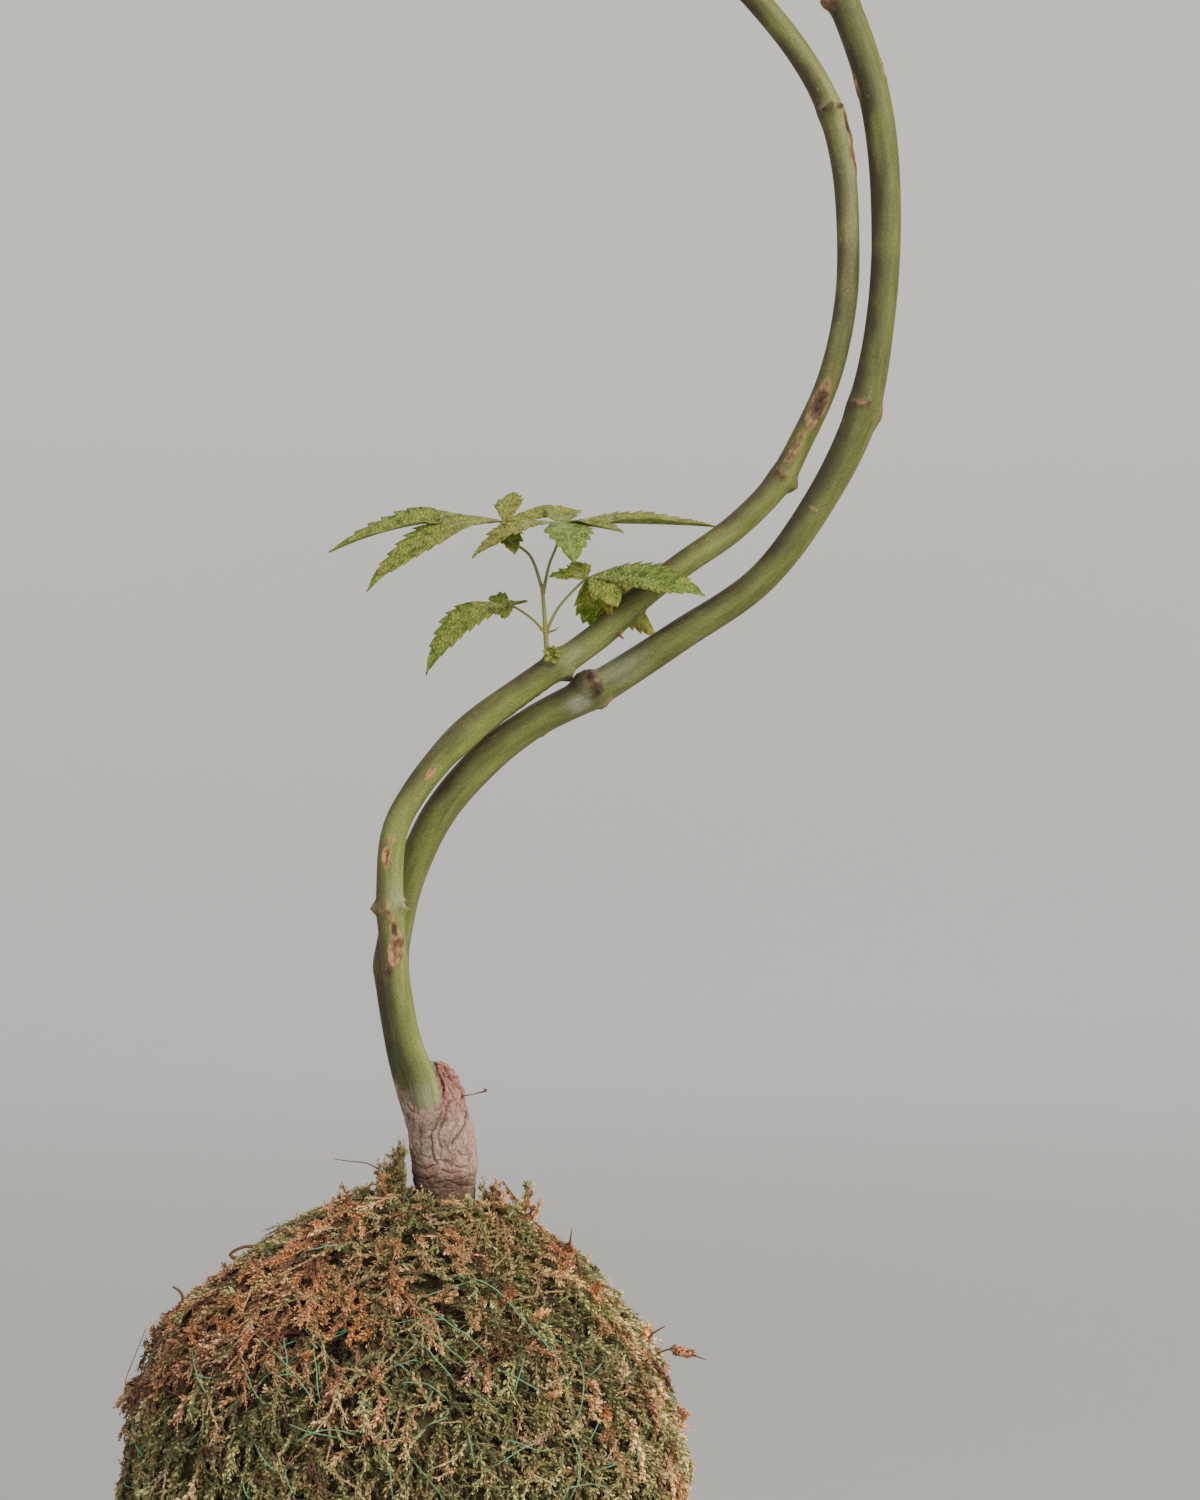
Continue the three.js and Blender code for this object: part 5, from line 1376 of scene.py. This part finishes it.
shade = add(tree, "Mix", {"data_type": "RGBA", 7: rgba("#362523")}, {0: dark_and_shadow, 6: shade}).outputs[2]
grain = add(tree, "Math", {"operation": "ADD"}, {0: streaks.outputs["Fac"], 1: down.outputs["Fac"]})
bump = add(tree, "Bump", {"Strength": 0.3, "Distance": 0.0002}, {"Height": grain.outputs["Value"]})
tree.links.new(shade, shader.inputs["Base Color"])
tree.links.new(bump.outputs["Normal"], shader.inputs["Normal"])

# %% Stems
stem("front_stem", FRONT_STEM, np.array([62, 143, 218, 316]), FRONT_KNOBS, FRONT_WOUNDS, FRONT_BLOOM_AND_SHEEN,
     10.6, 0.0, ["stem_front"], 61)
stem("back_stem", BACK_STEM, np.array([47, 140, 243, 352]), BACK_KNOBS, BACK_WOUNDS, BACK_BLOOM,
     15.5, 1.0, ["stem_back"], 71)

# %% [markdown]
# ## Leaves
# The leaves are palmate: long-pointed lobes round one point, each with a midrib, side veins that
# run to its teeth, and a fine net between them. A lobe is a strip carried along its midrib: at s
# along it, the half width is wide * sin(pi s^0.85)^0.9, cut into teeth that rise slowly and drop
# sharply, and held back near the leaf's middle so that it meets its neighbour on the line halfway
# between them. The strip has an upper and a lower face, so it is closed and as thin as a leaf.

# %% Leaf lobes
BLADE = 0.3                # mm, thickness of a blade
ACROSS = np.array([-1, -0.7, -0.36, 0, 0.36, 0.7, 1.0])
OFF = np.abs(ACROSS)       # from 0 on the midrib to 1 at the edge
TOOTHED = 0.93             # the share of a midrib that has teeth
VEIN_SLANT = 0.95          # how many teeth a side vein runs ahead on its way to the edge


def lobe(centre, end, wide, bend, turned_face, fold, teeth, room, seed):
    """Ring points of one lobe and its vein coordinates: teeth passed, side to side, mm from the
    midrib. room holds the half angles that it may fill to its left and right, in radians."""
    way = unit(end - centre)
    left = unit(np.cross(turned_face, way))
    lift = np.cross(way, left)
    k = np.arange(teeth)[:, None] + np.array([0, 0.4, 0.75, 0.97])
    s = np.concatenate([k.ravel() / teeth * TOOTHED, [0.955, 0.98, 1.0]])
    through = np.concatenate([(k % 1).ravel(), [0.3, 0.3, 0.0]])
    u = s[:, None]
    rib = (1 - u)**2 * centre + 2 * u * (1 - u) * bend + u**2 * end
    outline = wide * np.sin(np.pi * s ** 0.85) ** 0.9
    outline = outline * (0.86 + 0.28 * through * np.clip(8 * s * (1 - s), 0, 1))
    from_middle = np.linalg.norm(rib - centre, axis=1)
    halves = [np.minimum(outline, 0.12 + from_middle * np.tan(min(angle, 1.45)) * 1.03)
              for angle in room]
    half = np.where(ACROSS < 0, halves[1][:, None], halves[0][:, None])
    # seen from the face, the strip runs from its right edge (-1) to its left one (1)
    side = ACROSS * half
    eased = np.clip((u - 0.12) / 0.3, 0, 1)
    wave = 0.4 * noise(np.stack([s * 9, np.ones_like(s), np.full_like(s, seed)], 1), 1.0, seed)
    passed = s / TOOTHED * teeth
    quilt = 0.28 * np.abs(np.sin(np.pi * (passed[:, None] - VEIN_SLANT * OFF)))
    quilt = quilt * (OFF < 0.99) * (OFF > 0.01)
    height = fold * np.abs(side) * eased + quilt * eased + wave[:, None] * OFF * eased
    # the points of the teeth lean towards the lobe's tip
    ahead_of = (through * 0.9 * (OFF[:, None] > 0.9)).T * (outline / wide)[:, None]
    upper = (rib[:, None] + left * side[..., None] + lift * height[..., None]
             + way * ahead_of[..., None] * 0.8)
    thin = BLADE * np.where(OFF > 0.9, 0.35, 1.0)[None, :, None]
    thin = thin + 0.35 * (OFF < 0.01)[None, :, None] * (1 - u[:, :, None])
    ring = np.concatenate([upper, (upper - lift * thin)[:, ::-1]], axis=1)
    veins = np.stack([np.repeat(passed[:, None], len(ACROSS), axis=1),
                      np.repeat(ACROSS[None], len(s), axis=0), np.abs(side)], axis=-1)
    return ring, np.concatenate([veins, veins[:, ::-1]], axis=1)


def leaf_lot(leaves):
    """The lobes of many leaves as one closed mesh. A leaf is (centre, face, lobes), and a lobe is
    (tip, half width, rise of its midrib or the point it bends to, its own face or None, fold), and
    may end with its tone, from 0, yellow-olive, to 1, fresh green."""
    shells, number = [], 0
    for centre, face, lobes in leaves:
        centre, face = np.array(centre, float), unit(np.array(face, float))
        ends = np.array([l[0] for l in lobes], float)
        bends = [np.array(l[2], float) if np.ndim(l[2]) else (centre + e) / 2 + face * l[2]
                 for l, e in zip(lobes, ends)]
        ways = unit(np.array(bends) - centre)
        gaps = np.arccos(np.clip((ways[:-1] * ways[1:]).sum(1), -1, 1)) / 2
        for k, (_, wide, _, own, fold, *own_tone) in enumerate(lobes):
            teeth = int(np.clip(np.linalg.norm(ends[k] - centre) / 2.9, 4, 12))
            room = (gaps[k - 1] if k else 1.2, gaps[k] if k < len(gaps) else 1.2)
            number += 1
            ring, veins = lobe(centre, ends[k], wide * 1.12, bends[k],
                               np.array(own or face, float), fold, teeth, room, number)
            tone = own_tone[0] if own_tone else 0.25 + 0.5 * ((number * 0.618) % 1)
            tone = np.full(veins.shape[:2], tone)
            points, faces = closed(ring[None])
            shells.append((points, faces, with_ends(veins[None]), with_ends(tone[None])))
    steps = np.cumsum([0] + [len(s[0]) for s in shells[:-1]])
    return (np.vstack([s[0] for s in shells]),
            [np.vstack([s[1][kind] + step for s, step in zip(shells, steps)]) for kind in (0, 1)],
            np.vstack([s[2] for s in shells]), np.concatenate([s[3] for s in shells]))


# %% [markdown]
# The veins are drawn by the material: each point carries how many teeth lie behind it and how far
# across it is, and a side vein is where the first, less a share of the second, is a whole number.

# %% Leaf finish
# A young leaf: yellow-green, softly shiny, with paler veins and a fine net between them. The net's
# creases are painted darker as shade and the cells between them lighter as highlights.
leaf_green, tree, shader = finish("young_leaf", {
    "Roughness": 0.62, "IOR": 1.42, "Specular IOR Level": 0.18, "Subsurface Weight": 0.3,
    "Subsurface Scale": 0.002, "Subsurface Radius": (0.5, 1.0, 0.2)})
stored = add(tree, "Attribute", {"attribute_name": "veins"}).outputs["Vector"]
blade = add(tree, "SeparateXYZ", links={"Vector": stored})
tone = add(tree, "Attribute", {"attribute_name": "tone"}).outputs["Fac"]
place = add(tree, "TexCoord").outputs["Object"]
aside = add(tree, "Math", {"operation": "ABSOLUTE"}, {0: blade.outputs["Y"]})
slant = add(tree, "Math", {"operation": "MULTIPLY_ADD", 1: -VEIN_SLANT},
            {0: aside.outputs["Value"], 2: blade.outputs["X"]})
zigzag = add(tree, "Math", {"operation": "PINGPONG", 1: 0.5}, {0: slant.outputs["Value"]})
side_vein = add(tree, "MapRange", {"From Min": 0.11, "From Max": 0.03}, {"Value": zigzag.outputs["Value"]})
midrib = add(tree, "MapRange", {"From Min": 0.5, "From Max": 0.2}, {"Value": blade.outputs["Z"]})
net = add(tree, "TexVoronoi", {"feature": "DISTANCE_TO_EDGE", "Scale": 900.0}, {"Vector": place})
vein = add(tree, "Math", {"operation": "MAXIMUM"},
           {0: side_vein.outputs["Result"], 1: midrib.outputs["Result"]})
mottle = add(tree, "TexNoise", {"Scale": 420.0, "Detail": 4.0}, {"Vector": place})
mottled = add(tree, "MapRange", {"From Min": 0.35, "From Max": 0.65}, {"Value": mottle.outputs["Fac"]})
olive = add(tree, "Mix", {"data_type": "RGBA", 6: rgba("#6e6a2a"), 7: rgba("#a9a04f")},
            {0: mottled.outputs["Result"]}).outputs[2]
fresh = add(tree, "Mix", {"data_type": "RGBA", 6: rgba("#57692e"), 7: rgba("#8f9a4e")},
            {0: mottled.outputs["Result"]}).outputs[2]
shade = add(tree, "Mix", {"data_type": "RGBA"}, {0: tone, 6: olive, 7: fresh}).outputs[2]
# painted shade in the net's creases, painted highlights on the cells between them
blister_shade = add(tree, "MapRange", {"From Max": 0.32, "To Min": 0.72, "To Max": 1.24},
              {"Value": net.outputs["Distance"]})
shade = add(tree, "VectorMath", {"operation": "MULTIPLY"},
            {0: shade, 1: blister_shade.outputs["Result"]}).outputs["Vector"]
edge = add(tree, "MapRange", {"From Min": 0.82, "From Max": 1.0, "To Max": 0.35},
           {"Value": aside.outputs["Value"]})
shade = add(tree, "Mix", {"data_type": "RGBA", 7: rgba("#8a7a3c")},
            {0: edge.outputs["Result"], 6: shade}).outputs[2]
part_vein = add(tree, "Math", {"operation": "MULTIPLY", 1: 0.35}, {0: vein.outputs["Value"]})
shade = add(tree, "Mix", {"data_type": "RGBA", 7: rgba("#a4aa5c")},
            {0: part_vein.outputs["Value"], 6: shade}).outputs[2]
bump = add(tree, "Bump", {"Strength": 1.0, "Distance": 0.0012}, {"Height": net.outputs["Distance"]})
tree.links.new(shade, shader.inputs["Base Color"])
tree.links.new(bump.outputs["Normal"], shader.inputs["Normal"])

# %% [markdown]
# Stalks and young shoots are tapered tubes through listed points, which is all that their shape
# is at this size. They are smooth, yellow-green and patched with brown.

# %% Leaf stalks
stalk_green, tree, shader = finish("young_stalk", {"Roughness": 0.5, "Specular IOR Level": 0.4})
place = add(tree, "TexCoord").outputs["Object"]
varied = add(tree, "TexNoise", {"Scale": 150.0, "Detail": 2.0}, {"Vector": place})
shade = add(tree, "Mix", {"data_type": "RGBA", 6: rgba("#6f6838"), 7: rgba("#8b9048")},
            {0: varied.outputs["Fac"]}).outputs[2]
tree.links.new(shade, shader.inputs["Base Color"])


def stalks(name, lines):
    """Tapered tubes through given points with a radius each."""
    paths = np.stack([smooth_path(line, 40) for line in lines])
    points, faces = closed(tube(paths[..., :3], np.repeat(paths[..., 3:], 12, axis=2), 12))
    piece(name, points, faces, stalk_green)


# %% [markdown]
# The shoot carries four spread leaves and the bud of a fifth. Each lobe's tip is set where the
# photograph has it, and how far it comes forward is a guess that suits how wide it looks.

# %% Leafy shoot
LEAVES = [    # the middle, the face, then the lobes as leaf_lot() takes them, in mm
    ((25.7, 0, 317.8), (-0.05, -0.2, 1), [
        ((33.3, 8, 317), 2, 0, None, 0.3),
        ((45.7, 15, 321), 3.4, 2, (-0.05, -0.6, 0.8), 0.2, 0.3),
        ((28.0, 15, 326.0), 3.6, 0.5, (-0.3, -0.75, 0.6), 0.2, 0.3),
        ((-19.5, 6, 310.1), 7, 6.7, (-0.08, -0.36, 0.92), 0.3, 0.65),
        ((-8.5, -15, 298.9), 5.8, 11.5, (-0.4, -0.6, 0.7), 0.1, 0.6),
        ((28.9, -7, 308.7), 3, 0, None, 0.3, 0.2)]),
    ((39.9, -3, 317.3), (0.05, -0.2, 1), [
        ((80.5, 2, 316.6), 6, 1, None, 0.3), ((41.8, 14, 320.5), 4, 1.5, None, 0.3),
        ((18.3, -15, 307.5), 4.8, 6, None, 0.1, 0.3), ((44.2, -28, 305.7), 5.8, 6, None, 0.1, 1.0),
        ((56.7, -16, 314), 3.6, 1, None, 0.3)]),
    ((27.2, 0, 296.4), (-0.3, -0.45, 0.85), [
        ((31.7, 6, 297.4), 2, 0, None, 0.3), ((22, 7, 298.6), 2.0, 0.6, None, 0.3, 0.4),
        ((6.2, -5, 278.1), 4.8, 11, (-0.5, -0.7, 0.5), 0.1, 0.7), ((26.2, -6, 292.4), 2, 0, None, 0.3)]),
    ((47.6, -3, 303.2), (0.1, -0.6, 0.8), [
        ((77.3, -10.5, 298.3), 6.2, 4, None, 0.1, 1.0),
        ((55.2, -11, 295.4), 4.6, 2.5, (0.1, -0.8, 0.5), 0.1, 0.65),
        ((65, 8.5, 288.5), 6.6, 4, (0.3, -0.7, 0.6), 0, 0.0),
        ((43.4, 4, 307.4), 2.6, 0, None, 0.3, 0.6), ((37.6, -5, 303.2), 2.4, 1, None, 0.3, 0.5),
        ((55.0, 5.6, 289.5), 4.8, (48.4, 0, 294.5), (-0.3, -1, 0.25), 0, 0.15)]),
    ((38.2, -5.0, 283.0), (0, -0.9, 0.4), [
        ((40.9, -6.5, 283.6), 1.1, 0.3, None, 0.3), ((38.8, -6, 285.6), 1.0, 0.3, None, 0.3),
        ((36.0, -6, 284.3), 1.1, 0.3, None, 0.3), ((36.6, -6.5, 281.4), 1.1, 0.3, None, 0.3),
        ((39.6, -6.5, 280.8), 1.1, 0.3, None, 0.3)]),
]
SHOOT_STALKS = [    # x, y, z, radius
    [(37.5, -1.8, 280, 0.8), (36.8, -1.6, 287.1, 0.65), (36.3, -1.5, 294.8, 0.55), (35.7, -1.4, 301.5, 0.5)],
    [(36.2, -1.5, 299, 0.5), (32.7, -1, 308.7, 0.38), (28.3, -0.5, 312.6, 0.36), (25.7, 0, 317.9, 0.4)],
    [(36, -1.6, 299, 0.5), (37.6, -2, 306.4, 0.38), (39.9, -2.5, 312.7, 0.36), (39.9, -3, 317.4, 0.4)],
    [(36.8, -1.6, 288.7, 0.45), (33.2, -1, 292.6, 0.35), (29.1, -0.5, 295.4, 0.33),
     (27.0, -0.1, 296.4, 0.35)],
    [(37, -1.6, 289.7, 0.45), (39.9, -2, 295.3, 0.36), (44.2, -2.5, 300.2, 0.34), (47.6, -3, 303.3, 0.36)],
    [(37.4, -1.6, 288.6, 0.35), (36.3, -2.2, 289.3, 0.25), (35.1, -2.6, 289.6, 0.1)],
    [(37.2, -1.6, 289.2, 0.35), (38.9, -2.2, 289.6, 0.25), (40.2, -2.6, 290.5, 0.1)],
]
points, faces, veins, tone = leaf_lot(LEAVES)
piece("shoot_leaves", points, faces, leaf_green, replaces=["leafy_shoot"],
      attributes={"veins": veins, "tone": tone})
stalks("shoot_stalks", SHOOT_STALKS)

# %% [markdown]
# ## The tops of the stems
# The photograph cuts both stems off. They are carried on and end in a young whorl of the same
# leaves, in the places that the CAD model gives them. The model set them by a small random
# generator, s * 16807 mod 2147483647, so the same numbers come out of it here.

# %% Crown shoots
TIMES, MODULUS = 16807, 2147483647
WHORL = ((-2, 0.42, 2.6), (-1, 0.78, 4), (0, 1, 5), (1, 0.78, 4), (2, 0.42, 2.6))


def crown(stem_path, base, heading, count, seed):
    """Leaves and stalks of one top. The shoot starts inside the stem and swells over its end. Leaf i
    leaves the shoot at an angle of 2.4 i plus a random part, and its lobes spread at the angle, the
    share of its length and the half width that WHORL gives."""
    state = [seed]

    def random():
        state[0] = state[0] * TIMES % MODULUS
        return state[0] / MODULUS

    base, heading = np.array(base, float), unit(np.array(heading, float))
    end, below = (np.array(stem_path[k]) for k in (-1, -2))
    lines = [[tuple(0.72 * end + 0.28 * below - [0, 0, 0, 0.15]), (*base, end[3] * 1.06),
              *((*(base + heading * far), r) for far, r in ((3, 1.95), (12, 1.7), (20, 1.3), (24, 0.7)))]]
    leaves = []
    for i in range(count):
        a = i * 2.4 + random() * 0.4
        off = np.array([np.cos(a), np.sin(a), 0.25 + 0.2 * random()])
        start = base + heading * (9 + i * 14 / count)
        hinge = start + off * (13 + 6 * random())
        bend = (start + hinge) / 2 + [0, 0, 2]
        near_hinge = start * 0.3 + hinge * 0.7 + [0, 0, 1]
        way = np.array([np.cos(a), np.sin(a), -0.25])
        across = np.array([-np.sin(a), np.cos(a), -0.1])
        long = 22 + 8 * random()
        lobes = [(hinge + way * np.cos(t) * long * k + across * np.sin(t) * long * k, wide, 4 * k, None, 0.3)
                 for t, k, wide in WHORL]
        leaves.append((hinge, (0, 0, 1), lobes))
        lines.append([(*start, 0.75), (*bend, 0.6), (*near_hinge, 0.55), (*hinge, 0.5)])
    return leaves, lines


TOPS = (    # name, CAD node, stem, base, heading, leaves, seed
    ("front", "crown_shoot_front", FRONT_STEM, (50, -5.8, 502.7), (-0.3, -0.2, 1), 4, 7),
    ("back", "crown_shoot_back", BACK_STEM, (76.1, 5, 512.9), (-0.1, 0.15, 1), 4, 12),
)
for name, node, *place in TOPS:
    leaves, lines = crown(*place)
    points, faces, veins, tone = leaf_lot(leaves)
    piece(f"crown_leaves_{name}", points, faces, leaf_green, replaces=[node],
          attributes={"veins": veins, "tone": tone})
    stalks(f"crown_stalks_{name}", lines)

# %% [markdown]
# ## Soil
# The moss hides the soil ball. Its CAD node stays as it is, with a crumbly brown finish.

# %% Potting soil
soil, tree, shader = finish("potting_soil", {"Roughness": 1.0, "Specular IOR Level": 0.15})
place = add(tree, "TexCoord").outputs["Object"]
crumbs = add(tree, "TexVoronoi", {"Scale": 450.0}, {"Vector": place})
shade = add(tree, "Mix", {"data_type": "RGBA", 6: rgba("#2a1d13"), 7: rgba("#54402e")},
            {0: crumbs.outputs["Distance"]}).outputs[2]
bump = add(tree, "Bump", {"Strength": 0.8, "Distance": 0.001}, {"Height": crumbs.outputs["Distance"]})
tree.links.new(shade, shader.inputs["Base Color"])
tree.links.new(bump.outputs["Normal"], shader.inputs["Normal"])
soil_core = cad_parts["soil_core"]
soil_core.data.materials.clear()
soil_core.data.materials.append(soil)
